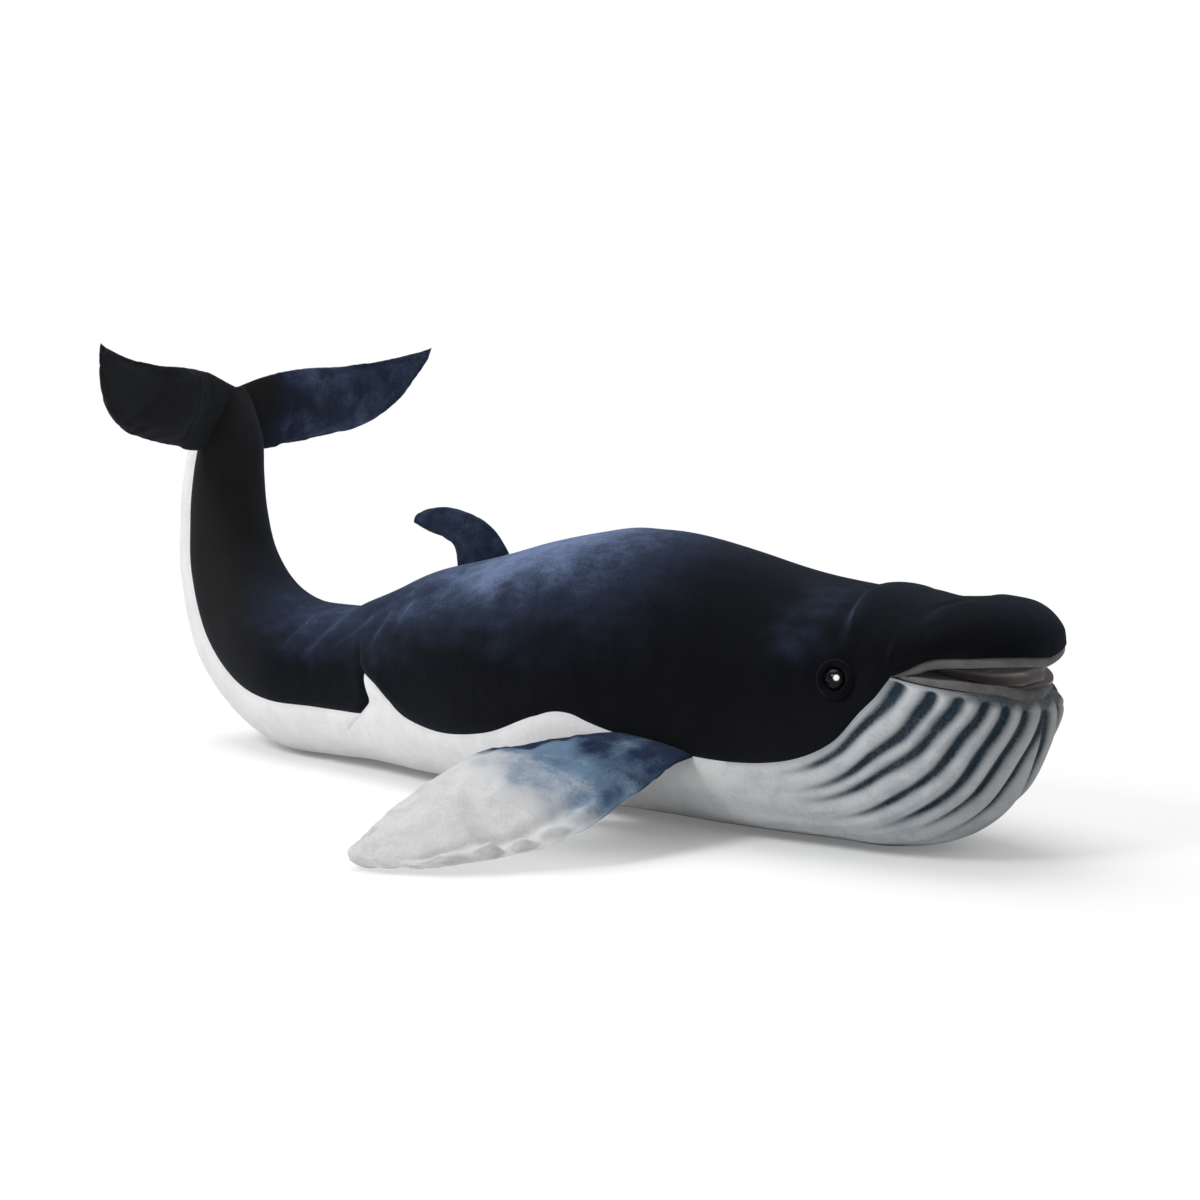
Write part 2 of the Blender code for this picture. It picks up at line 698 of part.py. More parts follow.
def tail_filling(shop, joint):
    """Stuffing of the tail, with an open channel for its bending wire."""
    rows = steps(0.0, RING_STATION, TAIL_ROWS)
    rows[0] = TAIL_FILLING_STATION
    rows[-1] -= gap_in_stations(RING_STATION, 0.0, 1, RING_FILLING_GAP)
    white_shares = steps(-1.0, 1.0, COLUMNS_WHITE_TAIL)
    rings = filling_rings(rows, tail_seam, white_shares, 0, RING_STATION)
    filling = shop.add("tail_filling", loft(rings), "fiberfill", joint)
    stations = steps(WIRE_END_STATION, WIRE_START_STATION, WIRE_POINTS)
    route = [tail_line(station) for station in stations]
    run_out = (route[-1] - route[-2]).normalized() * WIRE_RUN_OUT
    far_end = (route[0] - route[1]).normalized() * 2.0 * FIT_GAP
    channel = [route[0] + far_end] + route[1:] + [route[-1] + run_out]
    cutter = shop.add_cutter("wire_channel", tube_mesh("wire_channel", channel, WIRE_RADIUS + FIT_GAP))
    cut(filling, cutter)
    shop.add("tail_wire", tube_mesh("tail_wire", route, WIRE_RADIUS), "armature_steel", joint)


def lip_plane_height(x):
    """Height of the lower jaw's rim, which falls straight from corner to chin."""
    row = STATIONS[LIP_STATION]
    return lerp(row[3], row[5], (x - row[2]) / (row[4] - row[2]))


def upper_edge_height(x):
    """Height of the snout's lower edge above a place along the mouth."""
    rows = STATIONS[LIP_STATION:SNOUT_STATION + 1]
    return float(np.interp(x, rows[:, 2], rows[:, 3]))


def mouth_opening(x):
    return max(upper_edge_height(x) - lip_plane_height(x), 0.0)


def snout_edge(share):
    """Lower edge of the snout, from the right corner at -1 to the left at 1."""
    side = 1 if share >= 0.0 else -1
    reach = 1.0 - abs(share)
    if reach < SNOUT_SIDE_SHARE:
        station = lerp(LIP_STATION, SNOUT_STATION, reach / SNOUT_SIDE_SHARE)
        return skin(station, 0.0, side)
    angle = (reach - SNOUT_SIDE_SHARE) / (1.0 - SNOUT_SIDE_SHARE) * QUARTER_TURN
    return skin(SNOUT_STATION, angle, side)


def snout_columns():
    """Shares of the snout's edge that line up with the corners of its covers."""
    beside = steps(1.0, 1.0 - SNOUT_SIDE_SHARE, SNOUT_ROWS)[1:]
    half = beside + steps(1.0 - SNOUT_SIDE_SHARE, 0.0, COLUMNS_DARK)[1:-1]
    return [-share for share in half] + [0.0] + half[::-1]


def level_normal(edge, share):
    """Level outward normal of an edge that runs from the right round to the left."""
    step = NORMAL_STEP_SHARE
    along = edge(min(share + step, 1.0)) - edge(max(share - step, -1.0))
    return Vector((along.y, -along.x, 0.0)).normalized()


def upper_lip(shop):
    """Grey band that hangs under the snout's edge."""
    def place(height, share, depth):
        edge = snout_edge(share)
        outward = level_normal(snout_edge, share)
        fall = min(UPPER_LIP_SHARE * mouth_opening(edge.x), LIP_HEIGHT)
        point = edge - outward * (depth * LIP_THICKNESS + LIP_LEAN_SHARE * height * fall)
        point.z = edge.z - FIT_GAP - height * fall
        return point

    shop.add("upper_lip_band", slab([0.0, 1.0], snout_columns(), place), "grey_lip")


def jaw_edge(share):
    """Rim of the lower jaw, from the right corner at -1 to the left at 1."""
    side = 1 if share >= 0.0 else -1
    return skin(LIP_STATION, -(1.0 - abs(share)) * QUARTER_TURN, side)


def lower_lip(shop):
    """Band that closes the throat's cover and stands up round the mouth floor."""
    arc = white_arc(body_seam)
    on_skin = panel_place(arc, THROAT_END_STATION, LIP_STATION, COVER_THICKNESS)

    def place(row, share, depth):
        if row <= LIP_STATION:
            return on_skin(row, share, depth)
        point = on_skin(LIP_STATION, share, depth)
        rise = min(LOWER_LIP_SHARE * mouth_opening(point.x), LOWER_LIP_RISE)
        point.z += rise
        return point

    rows = [THROAT_END_STATION, lerp(THROAT_END_STATION, LIP_STATION, 0.5), LIP_STATION, LIP_STATION + 1]
    columns = steps(-LIP_REACH_SHARE, LIP_REACH_SHARE, COLUMNS_LIP)
    shop.add("lower_lip_band", slab(rows, columns, place), "brown_lip")


def mouth_plate(edge, rows, inset, bottom, top):
    """Plate inside a lip: its rows run from the mouth's corners to the front."""
    def place(row, across, depth):
        right = edge(-row) - level_normal(edge, -row) * inset
        left = edge(row) - level_normal(edge, row) * inset
        point = right.lerp(left, 0.5 * (across + 1.0))
        low = bottom(point)
        point.z = lerp(low, top(point), depth)
        return point

    return slab(rows, steps(-1.0, 1.0, MOUTH_COLUMNS), place)


def mouth_linings(shop):
    """Palate under the snout and floor on top of the lower jaw."""
    rows = steps(PALATE_REAR_SHARE, MOUTH_FRONT_SHARE, MOUTH_ROWS)
    palate = mouth_plate(
        snout_edge, rows, LIP_THICKNESS + 3.0 * FIT_GAP,
        bottom=lambda point: point.z - FIT_GAP - PALATE_THICKNESS,
        top=lambda point: point.z - FIT_GAP)
    shop.add("palate", palate, "tongue_fabric")
    rows = steps(FLOOR_REAR_SHARE, MOUTH_FRONT_SHARE, MOUTH_ROWS)
    floor = mouth_plate(
        jaw_edge, rows, COVER_THICKNESS + FIT_GAP,
        bottom=lambda point: lip_plane_height(point.x) + FIT_GAP,
        top=lambda point: lip_plane_height(point.x) + FIT_GAP + PALATE_THICKNESS)
    shop.add("mouth_floor", floor, "tongue_fabric")


def tongue(shop):
    """Flat tongue with a round front, lying on the mouth's floor."""
    row = STATIONS[LIP_STATION]
    jaw_length = row[4] - row[2]
    front = row[4] - TONGUE_SETBACK_SHARE * jaw_length
    rear = front - TONGUE_LENGTH_SHARE * jaw_length

    def place(share, across, depth):
        x = lerp(rear, front, share)
        width = TONGUE_HALF_WIDTH * (1.0 - max(share - TONGUE_ROUND_SHARE, 0.0) ** 2
                                     / (1.0 - TONGUE_ROUND_SHARE) ** 2 * TONGUE_TAPER_SHARE)
        low = lip_plane_height(x) + 2.0 * FIT_GAP + PALATE_THICKNESS
        thick = lerp(TONGUE_REAR_HEIGHT, TONGUE_FRONT_HEIGHT, share)
        crown = 1.0 - TONGUE_CROWN_SHARE * across**2
        return Vector((x, across * width, low + depth * thick * crown))

    rows = steps(0.0, 1.0, TONGUE_ROWS)
    shop.add("tongue", slab(rows, TONGUE_COLUMN_SHARES, place), "tongue_fabric")


def turned_mesh(name, profile, closed=False):
    """Mesh of a profile in the XZ plane that a Screw turns about Z."""
    mesh = bpy.data.meshes.new(name)
    edges = [(index, index + 1) for index in range(len(profile) - 1)]
    if closed:
        edges.append((len(profile) - 1, 0))
    mesh.from_pydata([(radius, 0.0, height) for radius, height in profile], edges, [])
    return mesh


def add_screw(made):
    screw = made.modifiers.new("turn", "SCREW")
    screw.angle = 2.0 * math.pi
    screw.steps = EYE_SIDES
    screw.render_steps = EYE_SIDES
    screw.axis = "Z"
    screw.use_merge_vertices = True
    screw.merge_threshold = MERGE_DISTANCE
    screw.use_smooth_shade = True


def eye_matrix(side):
    """Place of an eye: its Z points straight out of the cheek."""
    angle = EYE_ANGLE_SHARE * QUARTER_TURN
    place = skin(EYE_STATION, angle, side)
    outward = skin_normal(EYE_STATION, angle, side)
    turn = outward.to_track_quat("Z", "Y").to_matrix().to_4x4()
    return Matrix.Translation(place) @ turn


def turned_piece(shop, name, profile, slot, matrix, closed=False):
    made = bpy.data.objects.new(name, turned_mesh(name, profile, closed))
    made.matrix_world = matrix
    add_screw(made)
    if slot:
        made.data.materials.append(finish_material(slot))
        shop.parts.objects.link(made)
        return made
    made.hide_render = True
    made.display_type = "WIRE"
    shop.cutters.objects.link(made)
    return made


def eye_profile():
    """Dome and shank of a safety eye, from the top down to the shank's end."""
    seat_radius = math.sqrt(EYE_RADIUS**2 - (EYE_SEAT_HEIGHT + EYE_SINK) ** 2)
    last = math.atan2(EYE_SEAT_HEIGHT + EYE_SINK, seat_radius)
    points = [(0.0, EYE_RADIUS - EYE_SINK)]
    for turn in steps(QUARTER_TURN, last, EYE_DOME_ROWS)[1:]:
        points.append((EYE_RADIUS * math.cos(turn), EYE_RADIUS * math.sin(turn) - EYE_SINK))
    points.append((EYE_SHANK_RADIUS, EYE_SEAT_HEIGHT))
    points.append((EYE_SHANK_RADIUS, -EYE_SHANK_LENGTH))
    points.append((0.0, -EYE_SHANK_LENGTH))
    return points


def eyes(shop, backs, filling):
    """Safety eyes with their washers and sewn eyelids, and the holes they need."""
    hole = EYE_SHANK_RADIUS + FIT_GAP
    washer_top = -(COVER_THICKNESS + EYE_WASHER_DROP)
    washer_bottom = washer_top - EYE_WASHER_THICKNESS
    washer = [(hole, washer_top), (EYE_WASHER_RADIUS, washer_top),
              (EYE_WASHER_RADIUS, washer_bottom), (hole, washer_bottom)]
    through = [(0.0, EYE_CUT_OVERRUN), (hole, EYE_CUT_OVERRUN),
               (hole, -EYE_CUT_OVERRUN), (0.0, -EYE_CUT_OVERRUN)]
    pocket_radius = EYE_WASHER_RADIUS + FIT_GAP
    pocket = [(0.0, 0.0), (pocket_radius, 0.0), (pocket_radius, washer_bottom - FIT_GAP),
              (hole, washer_bottom - FIT_GAP), (hole, -EYE_SHANK_LENGTH - FIT_GAP),
              (0.0, -EYE_SHANK_LENGTH - FIT_GAP)]
    for word, side in (("right", -1), ("left", 1)):
        matrix = eye_matrix(side)
        turned_piece(shop, "eye_" + word, eye_profile(), "gloss_eye", matrix)
        turned_piece(shop, "eye_washer_" + word, washer, "washer_plastic", matrix, closed=True)
        cut(backs[side], turned_piece(shop, "eye_hole_" + word, through, None, matrix))
        cut(filling, turned_piece(shop, "eye_pocket_" + word, pocket, None, matrix))
        lid = [(EYELID_RADIUS + EYELID_ROLL_RADIUS * math.cos(turn),
                EYELID_LIFT + EYELID_ROLL_RADIUS * math.sin(turn))
               for turn in steps(math.pi, -math.pi, EYELID_SIDES)[:-1]]
        eyelid = turned_piece(shop, "eyelid_" + word, lid, "navy_plush", matrix, closed=True)
        cut(eyelid, cheek_cutter(shop, word, side))


def cheek_cutter(shop, word, side):
    """The cheek's own surface, raised by the fitting gap, to seat the eyelid on."""
    rows = steps(EYE_STATION - CHEEK_REACH_SHARE, EYE_STATION + CHEEK_REACH_SHARE, CHEEK_FACETS)
    turn = CHEEK_TURN_SHARE * QUARTER_TURN
    middle = EYE_ANGLE_SHARE * QUARTER_TURN
    columns = steps(middle - turn, middle + turn, CHEEK_FACETS)
    bm = slab(rows, columns, lambda row, angle, depth: sunk(
        row, angle, side, lerp(-FIT_GAP, 2.0 * EYELID_ROLL_RADIUS, depth)))
    return shop.add_cutter("cheek_" + word, bm)


class Limb:
    """A fin, flipper or fluke: two covers sewn round their edge, over a filling."""

    def __init__(self, rows, half_thickness):
        self.points = np.array([[*rear, *front, share * half_thickness] for rear, front, share in rows])

    def middle(self, row, chord):
        values = spline(self.points, row)
        return Vector(lerp(values[0:3], values[3:6], chord))

    def across(self, row, chord):
        """Unit normal of the limb's middle surface."""
        last = len(self.points) - 1
        step = LIMB_STEP_SHARE
        along = self.middle(min(row + step, last), chord) - self.middle(max(row - step, 0), chord)
        over = self.middle(row, 1.0) - self.middle(row, 0.0)
        return along.cross(over).normalized()

    def half(self, row, chord):
        edge = COVER_THICKNESS + SEAM_GAP / 2.0
        bulge = max(self.points[row][6] - edge, 0.0)
        return edge + bulge * (1.0 - abs(2.0 * chord - 1.0) ** CHORD_FULLNESS_SHARE) ** EDGE_FULLNESS_SHARE

    def cover_place(self, face):
        def place(row, chord, depth):
            half = self.half(row, chord)
            inner = max(half - COVER_THICKNESS, SEAM_GAP / 2.0)
            return self.middle(row, chord) + self.across(row, chord) * face * lerp(half, inner, depth)
        return place

    def filling_place(self, row, chord, depth):
        half = self.half(row, chord) - COVER_THICKNESS - FIT_GAP
        return self.middle(row, chord) + self.across(row, chord) * half * lerp(-1.0, 1.0, depth)

    def build(self, shop, names, slots, joint):
        rows = list(range(len(self.points)))
        for name, slot, face in zip(names[:2], slots, (1.0, -1.0)):
            shop.add(name, slab(rows, CHORD_SHARES, self.cover_place(face)), slot, joint)
        stuffed = [row for row in rows if self.points[row][6] > MIN_STUFFED_HALF]
        bm = slab(stuffed, CHORD_SHARES[1:-1], self.filling_place)
        shop.add(names[2], bm, "fiberfill", joint)


def limb_rows(shares, origin, axes, length, root):
    """Rows of a limb in world places. The first row is its root on the body."""
    rows = [(tuple(root[0]), tuple(root[1]), 0.0)]
    for rear, front, share in shares:
        points = []
        for along, out, up in (rear, front):
            points.append(tuple(origin + length * (axes[0] * along + axes[1] * out + axes[2] * up)))
        rows.append((points[0], points[1], share))
    return rows


def hinge_of(rows, outward):
    """Middle of the hinge line, a little outside the limb's root seam."""
    root = (Vector(rows[0][0]) + Vector(rows[0][1])) / 2.0
    return root + outward * HINGE_INSET


def flippers(shop):
    for word, side in (("right", -1), ("left", 1)):
        out = Vector((0.0, side, 0.0))
        lift = out * FLIPPER_ROOT_GAP
        rear = skin(FLIPPER_REAR_STATION, FLIPPER_REAR_ANGLE_SHARE * QUARTER_TURN, side) + lift
        front = skin(FLIPPER_FRONT_STATION, FLIPPER_FRONT_ANGLE_SHARE * QUARTER_TURN, side) + lift
        axes = (Vector((1.0, 0.0, 0.0)), out, Vector((0.0, 0.0, 1.0)))
        rows = limb_rows(FLIPPER_ROW_SHARES, rear, axes, FLIPPER_LENGTH, (rear, front))
        if side == 1:
            rows = [(front_point, rear_point, share) for rear_point, front_point, share in rows]
        slope = (Vector(rows[1][0]) + Vector(rows[1][1]) - Vector(rows[0][0]) - Vector(rows[0][1]))
        slope.x = 0.0
        joint = shop.empty("flipper_" + word + "_hinge", hinge_of(rows, slope.normalized()))
        names = ["flipper_" + word + tail for tail in ("_top_cover", "_under_cover", "_filling")]
        Limb(rows, FLIPPER_HALF_THICKNESS).build(
            shop, names, ("blue_white_plush", "white_plush"), joint)


def flukes(shop, tail_joint):
    foot = tail_line(FLUKE_FOOT_STATION)
    along = (tail_line(0) - foot).normalized()
    for word, side in (("right", -1), ("left", 1)):
        out = Vector((0.0, side, 0.0))
        lift = out * FLUKE_ROOT_GAP
        root = (skin(FLUKE_FOOT_STATION, 0.0, side) + lift, skin(0.0, 0.0, side) + lift)
        axes = (along, out, along.cross(out) * side)
        rows = limb_rows(FLUKE_ROW_SHARES, foot, axes, FLUKE_HALF_SPAN, root)
        if side == 1:
            rows = [(upper, lower, share) for lower, upper, share in rows]
        joint = shop.empty("fluke_" + word + "_hinge", hinge_of(rows, out), tail_joint)
        names = ["fluke_" + word + tail for tail in ("_top_cover", "_under_cover", "_filling")]
        Limb(rows, FLUKE_HALF_THICKNESS).build(
            shop, names, ("navy_plush", "black_plush"), joint)


def dorsal_fin(shop):
    front = skin(FIN_FRONT_STATION, QUARTER_TURN, 1)
    rear = skin(FIN_REAR_STATION, QUARTER_TURN, 1)
    along = (rear - front).normalized()
    out = Vector((along.z, 0.0, -along.x))
    axes = (along, out, Vector((0.0, 1.0, 0.0)))
    lift = out * FIN_ROOT_GAP
    origin = front + lift
    rows = limb_rows(FIN_ROW_SHARES, origin, axes, FIN_ROOT_LENGTH, (rear + lift, origin))
    joint = shop.empty("dorsal_fin_hinge", hinge_of(rows, out))
    names = ("dorsal_fin_cover_left", "dorsal_fin_cover_right", "dorsal_fin_filling")
    Limb(rows, FIN_HALF_THICKNESS).build(shop, names, ("navy_plush", "navy_plush"), joint)


def build_whale():
    clear_scene()
    shop = Workshop()
    backs = body_covers(shop)
    filling = body_filling(shop)
    snout_filling(shop)
    upper_lip(shop)
    lower_lip(shop)
    mouth_linings(shop)
    tongue(shop)
    eyes(shop, backs, filling)
    top_x, top_z = STATIONS[RING_STATION][:2]
    tail_joint = shop.empty("tail_hinge", Vector((top_x, 0.0, top_z)))
    tail_covers(shop, tail_joint)
    tail_filling(shop, tail_joint)
    flukes(shop, tail_joint)
    flippers(shop)
    dorsal_fin(shop)


build_whale()
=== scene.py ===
"""Visual model of the plush whale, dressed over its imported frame."""
import math

import bmesh
import bpy
import numpy as np
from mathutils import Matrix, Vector, noise


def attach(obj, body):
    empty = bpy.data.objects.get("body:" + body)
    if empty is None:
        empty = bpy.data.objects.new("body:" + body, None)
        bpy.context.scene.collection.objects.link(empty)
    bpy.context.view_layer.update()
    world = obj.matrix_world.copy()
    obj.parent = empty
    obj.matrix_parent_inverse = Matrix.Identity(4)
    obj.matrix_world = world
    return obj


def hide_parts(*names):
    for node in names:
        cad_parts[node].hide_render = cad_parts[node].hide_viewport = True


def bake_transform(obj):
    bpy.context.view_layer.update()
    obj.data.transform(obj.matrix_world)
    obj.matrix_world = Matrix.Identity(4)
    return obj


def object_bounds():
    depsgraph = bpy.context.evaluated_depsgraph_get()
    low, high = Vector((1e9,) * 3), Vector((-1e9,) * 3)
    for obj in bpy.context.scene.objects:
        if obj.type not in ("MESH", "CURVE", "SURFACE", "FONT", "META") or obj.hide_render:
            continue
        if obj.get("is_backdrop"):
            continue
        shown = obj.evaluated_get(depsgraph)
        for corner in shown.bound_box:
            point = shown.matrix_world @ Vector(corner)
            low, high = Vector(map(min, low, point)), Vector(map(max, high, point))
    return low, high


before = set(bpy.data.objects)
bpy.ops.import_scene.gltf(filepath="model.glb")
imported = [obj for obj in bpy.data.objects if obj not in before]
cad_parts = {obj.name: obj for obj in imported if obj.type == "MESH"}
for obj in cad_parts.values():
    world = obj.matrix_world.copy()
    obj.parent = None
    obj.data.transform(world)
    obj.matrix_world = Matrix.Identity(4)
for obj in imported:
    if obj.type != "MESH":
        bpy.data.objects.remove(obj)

bl_info = {
    "name": "Plush whale",
    "version": (1, 0, 0),
    "blender": (4, 5, 0),
    "location": "3D View > Sidebar > Whale",
    "description": "Makes the covers, limbs, mouth, eyes and setting of a plush whale",
    "category": "Add Mesh",
}

CAD_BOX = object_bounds()
QUARTER_TURN = math.pi / 2.0
SHARP_ANGLE = math.radians(50.0)
COVER_MERGE_DISTANCE = 2.0e-6
LIMB_MERGE_DISTANCE = 2.0e-5
FINE_MERGE_DISTANCE = 1.0e-6
TINY = 1.0e-12

OVERALL_LENGTH = 0.645
BACK_HEIGHT = 0.164
BODY_HALF_WIDTH = 0.080

# A station is a place along the whale. It counts the rows of the table below, from
# the tail's end.
RING_STATION = 10.0
THROAT_STATION = 19.0
LIP_STATION = 26.0
SNOUT_STATION = 32.0
LIP_ROW = int(LIP_STATION)

# Rows from the tail's end to the snout: top x and z, middle x and z, keel x and z,
# half width, as shares of the length, the height and the half width.
STATION_SHARES = (
    (-0.4316, 1.417, -0.436, 1.415, -0.4416, 1.412, 0.200),
    (-0.421, 1.323, -0.443, 1.311, -0.464, 1.293, 0.250),
    (-0.415, 1.207, -0.450, 1.195, -0.486, 1.183, 0.294),
    (-0.416, 1.067, -0.455, 1.061, -0.495, 1.049, 0.325),
    (-0.413, 0.927, -0.457, 0.902, -0.4992, 0.872, 0.350),
    (-0.405, 0.775, -0.449, 0.707, -0.495, 0.622, 0.400),
    (-0.383, 0.655, -0.419, 0.497, -0.469, 0.318, 0.481),
    (-0.347, 0.592, -0.373, 0.360, -0.411, 0.105, 0.575),
    (-0.302, 0.586, -0.321, 0.305, -0.346, 0.004, 0.650),
    (-0.266, 0.598, -0.252, 0.305, -0.277, 0.000, 0.700),
    (-0.243, 0.637, -0.179, 0.311, -0.218, 0.010, 0.762),
    (-0.202, 0.701, -0.140, 0.323, -0.150, 0.000, 0.838),
    (-0.156, 0.780, -0.109, 0.335, -0.103, 0.000, 0.887),
    (-0.088, 0.848, -0.066, 0.354, -0.060, 0.000, 0.950),
    (-0.016, 0.933, -0.010, 0.366, -0.007, 0.000, 0.988),
    (0.053, 0.994, 0.047, 0.378, 0.047, 0.000, 1.000),
    (0.088, 1.003, 0.086, 0.384, 0.084, 0.000, 1.000),
    (0.129, 0.997, 0.129, 0.390, 0.125, 0.000, 1.000),
    (0.188, 0.957, 0.191, 0.409, 0.188, 0.000, 0.988),
    (0.247, 0.909, 0.250, 0.445, 0.250, 0.000, 0.950),
    (0.297, 0.884, 0.300, 0.500, 0.309, 0.000, 0.912),
    (0.325, 0.878, 0.339, 0.555, 0.368, 0.004, 0.863),
    (0.346, 0.886, 0.365, 0.598, 0.418, 0.061, 0.825),
    (0.366, 0.883, 0.382, 0.625, 0.461, 0.195, 0.794),
    (0.382, 0.873, 0.393, 0.640, 0.486, 0.378, 0.775),
    (0.391, 0.869, 0.398, 0.646, 0.495, 0.488, 0.762),
    (0.400, 0.868, 0.402, 0.652, 0.498, 0.588, 0.756),
    (0.424, 0.877, 0.415, 0.671, 0.498, 0.588, 0.706),
    (0.448, 0.886, 0.426, 0.686, 0.498, 0.588, 0.662),
    (0.471, 0.877, 0.435, 0.695, 0.498, 0.588, 0.625),
    (0.488, 0.840, 0.443, 0.699, 0.498, 0.588, 0.600),
    (0.498, 0.780, 0.449, 0.701, 0.498, 0.588, 0.588),
    (0.500, 0.704, 0.453, 0.703, 0.498, 0.588, 0.588),
)
STATIONS = np.array(STATION_SHARES) * (
    OVERALL_LENGTH, BACK_HEIGHT, OVERALL_LENGTH, BACK_HEIGHT, OVERALL_LENGTH, BACK_HEIGHT,
    BODY_HALF_WIDTH)
TOP_X, TOP_Z, MIDDLE_X, MIDDLE_Z, KEEL_X, KEEL_Z, HALF_WIDTH = range(7)

# Seams between the dark and the white covers, one share for each station: how far
# they lie above the section's middle, or below it where the share is negative.
TAIL_SEAM_SHARES = np.array((
    -0.34, -0.26, -0.22, -0.20, -0.20, -0.22, -0.24, -0.24, -0.21, -0.19, -0.18))
BODY_SEAM_SHARES = np.array((
    0.30, -0.02, -0.20, -0.29, -0.22, -0.01, 0.03, -0.07, -0.22,
    -0.32, -0.35, -0.28, -0.16, -0.10, -0.05, -0.02, 0.0,
))
UPPER_FULLNESS = 0.94
LOWER_FULLNESS = 0.88
TAIL_CAP = 0.002
TAIL_END_SHARE = 0.55
RING_LEAN = 0.80
RING_LEAN_MIDDLE = 0.42
MOUTH_ARCH = 0.0028
SNOUT_SIDE_SHARE = 0.40

# Limb rows after the root: rear point, front point (along, out, up) and half
# thickness, as shares of the limb's length and of its half thickness.
FLIPPER_ROW_SHARES = (
    ((-0.048, 0.055, 0.000), (0.345, 0.073, -0.042), 0.70),
    ((-0.164, 0.145, -0.018), (0.339, 0.200, -0.085), 1.00),
    ((-0.273, 0.255, -0.048), (0.321, 0.315, -0.127), 1.00),
    ((-0.345, 0.376, -0.085), (0.291, 0.430, -0.182), 0.95),
    ((-0.382, 0.491, -0.127), (0.230, 0.527, -0.230), 0.90),
    ((-0.400, 0.606, -0.173), (0.158, 0.612, -0.264), 0.82),
    ((-0.400, 0.721, -0.218), (0.079, 0.715, -0.285), 0.74),
    ((-0.400, 0.824, -0.264), (-0.024, 0.806, -0.303), 0.66),
    ((-0.388, 0.897, -0.288), (-0.152, 0.879, -0.314), 0.58),
    ((-0.345, 0.939, -0.310), (-0.242, 0.924, -0.319), 0.45),
)
FLUKE_ROW_SHARES = (
    ((-0.015, 0.233, -0.016), (0.321, 0.175, -0.025), 0.52),
    ((0.009, 0.324, -0.025), (0.343, 0.278, -0.034), 0.82),
    ((0.032, 0.453, -0.043), (0.360, 0.401, -0.048), 1.00),
    ((0.066, 0.583, -0.066), (0.372, 0.544, -0.071), 0.92),
    ((0.107, 0.706, -0.094), (0.396, 0.686, -0.101), 0.84),
    ((0.178, 0.816, -0.124), (0.427, 0.809, -0.132), 0.72),
    ((0.265, 0.900, -0.152), (0.457, 0.900, -0.159), 0.56),
    ((0.364, 0.958, -0.173), (0.478, 0.961, -0.179), 0.38),
    ((0.448, 0.997, -0.189), (0.499, 1.003, -0.193), 0.20),
)
FIN_ROW_SHARES = (
    ((1.055, 0.277, 0.0), (0.175, 0.308, 0.0), 1.00),
    ((1.210, 0.464, 0.0), (0.493, 0.636, 0.0), 1.00),
    ((1.432, 0.580, 0.0), (0.961, 0.867, 0.0), 0.90),
    ((1.604, 0.687, 0.0), (1.367, 0.942, 0.0), 0.80),
    ((1.767, 0.789, 0.0), (1.675, 0.915, 0.0), 0.50),
)
FLIPPER_LENGTH = 0.165
FLUKE_HALF_SPAN = 0.1545
FIN_ROOT_LENGTH = 0.0412
FLIPPER_HALF_THICKNESS = 0.0095
FLIPPER_ROOT_STATIONS = np.array((17.02, 18.45))
FLIPPER_ROOT_SHARES = np.array((-0.055, -0.145))
FLIPPER_ROOT_DEPTH = 0.006
FLUKE_HALF_THICKNESS = 0.0100
FLUKE_FOOT_STATION = 2.05
FIN_HALF_THICKNESS = 0.0060
FIN_ROOT_STATIONS = np.array((12.20, 13.17))
FIN_ROOT_DEPTH = 0.005
LIMB_FILL_CAP = 0.003
LIMB_SLACK = 0.02
FIN_FILL_CAP = 0.0015
FIN_SLACK = 0.01

EYE_STATION = 21.62
EYE_ANGLE_SHARE = 0.085
EYE_SINK = 0.0015
EYE_SHANK_RADIUS = 0.0020
EYE_SHANK_DEPTH = 0.0075
EYE_TURN_STEPS = 64
PAINTED_GLINT_TURN = 0.56
PAINTED_GLINT_RISE = 0.28
EYELID_RADIUS = 0.0088
EYELID_HALF_WIDTH = 0.0021
EYELID_HALF_HEIGHT = 0.0017
EYELID_LIFT = 0.0006

TONGUE_FRONT_SHARE = 0.113
TONGUE_LENGTH_SHARE = 0.646
TONGUE_HALF_WIDTH = 0.037
TONGUE_REAR_HEIGHT = 0.003
TONGUE_LIFT = 0.0021
LIP_ROWS = 181
LIP_SECTION_SIDES = 24
LIP_SECTION_FULLNESS = 0.7

STUFFING_FRAMES = 16
HOLD_LEVELS = 10

# Grooves between the throat's pleats, from beside the mouth's corner down to the
# keel: the share of the white cover's arc at each of these stations.
GROOVE_STATIONS = (19.0, 19.8, 20.5, 21.3, 22.0, 22.8, 23.4, 24.2, 25.0, 26.0)
GROOVE_SHARES = np.array((
    (0.910, 0.925, 0.945, 0.952, 0.948, 0.945, 0.944, 0.944, 0.944, 0.944),
    (0.760, 0.785, 0.815, 0.840, 0.835, 0.825, 0.812, 0.790, 0.777, 0.770),
    (0.660, 0.695, 0.730, 0.748, 0.745, 0.735, 0.705, 0.675, 0.630, 0.600),
    (0.500, 0.530, 0.565, 0.603, 0.612, 0.612, 0.580, 0.515, 0.465, 0.430),
    (0.390, 0.415, 0.440, 0.470, 0.485, 0.475, 0.440, 0.355, 0.315, 0.295),
    (0.290, 0.320, 0.350, 0.385, 0.385, 0.350, 0.295, 0.200, 0.160, 0.155),
    (0.150, 0.180, 0.205, 0.230, 0.225, 0.170, 0.100, 0.030, 0.000, 0.000),
))
GROOVE_CURVES = [np.polyfit(GROOVE_STATIONS, table, 3) for table in GROOVE_SHARES]
GROOVE_REAR_STATIONS = np.array((19.3, 19.5, 19.6, 20.0, 20.6, 21.2, 21.4))
GROOVE_FRONT_STATIONS = np.array((25.3, 25.5, 25.6, 25.6, 25.5, 25.4, 25.3))

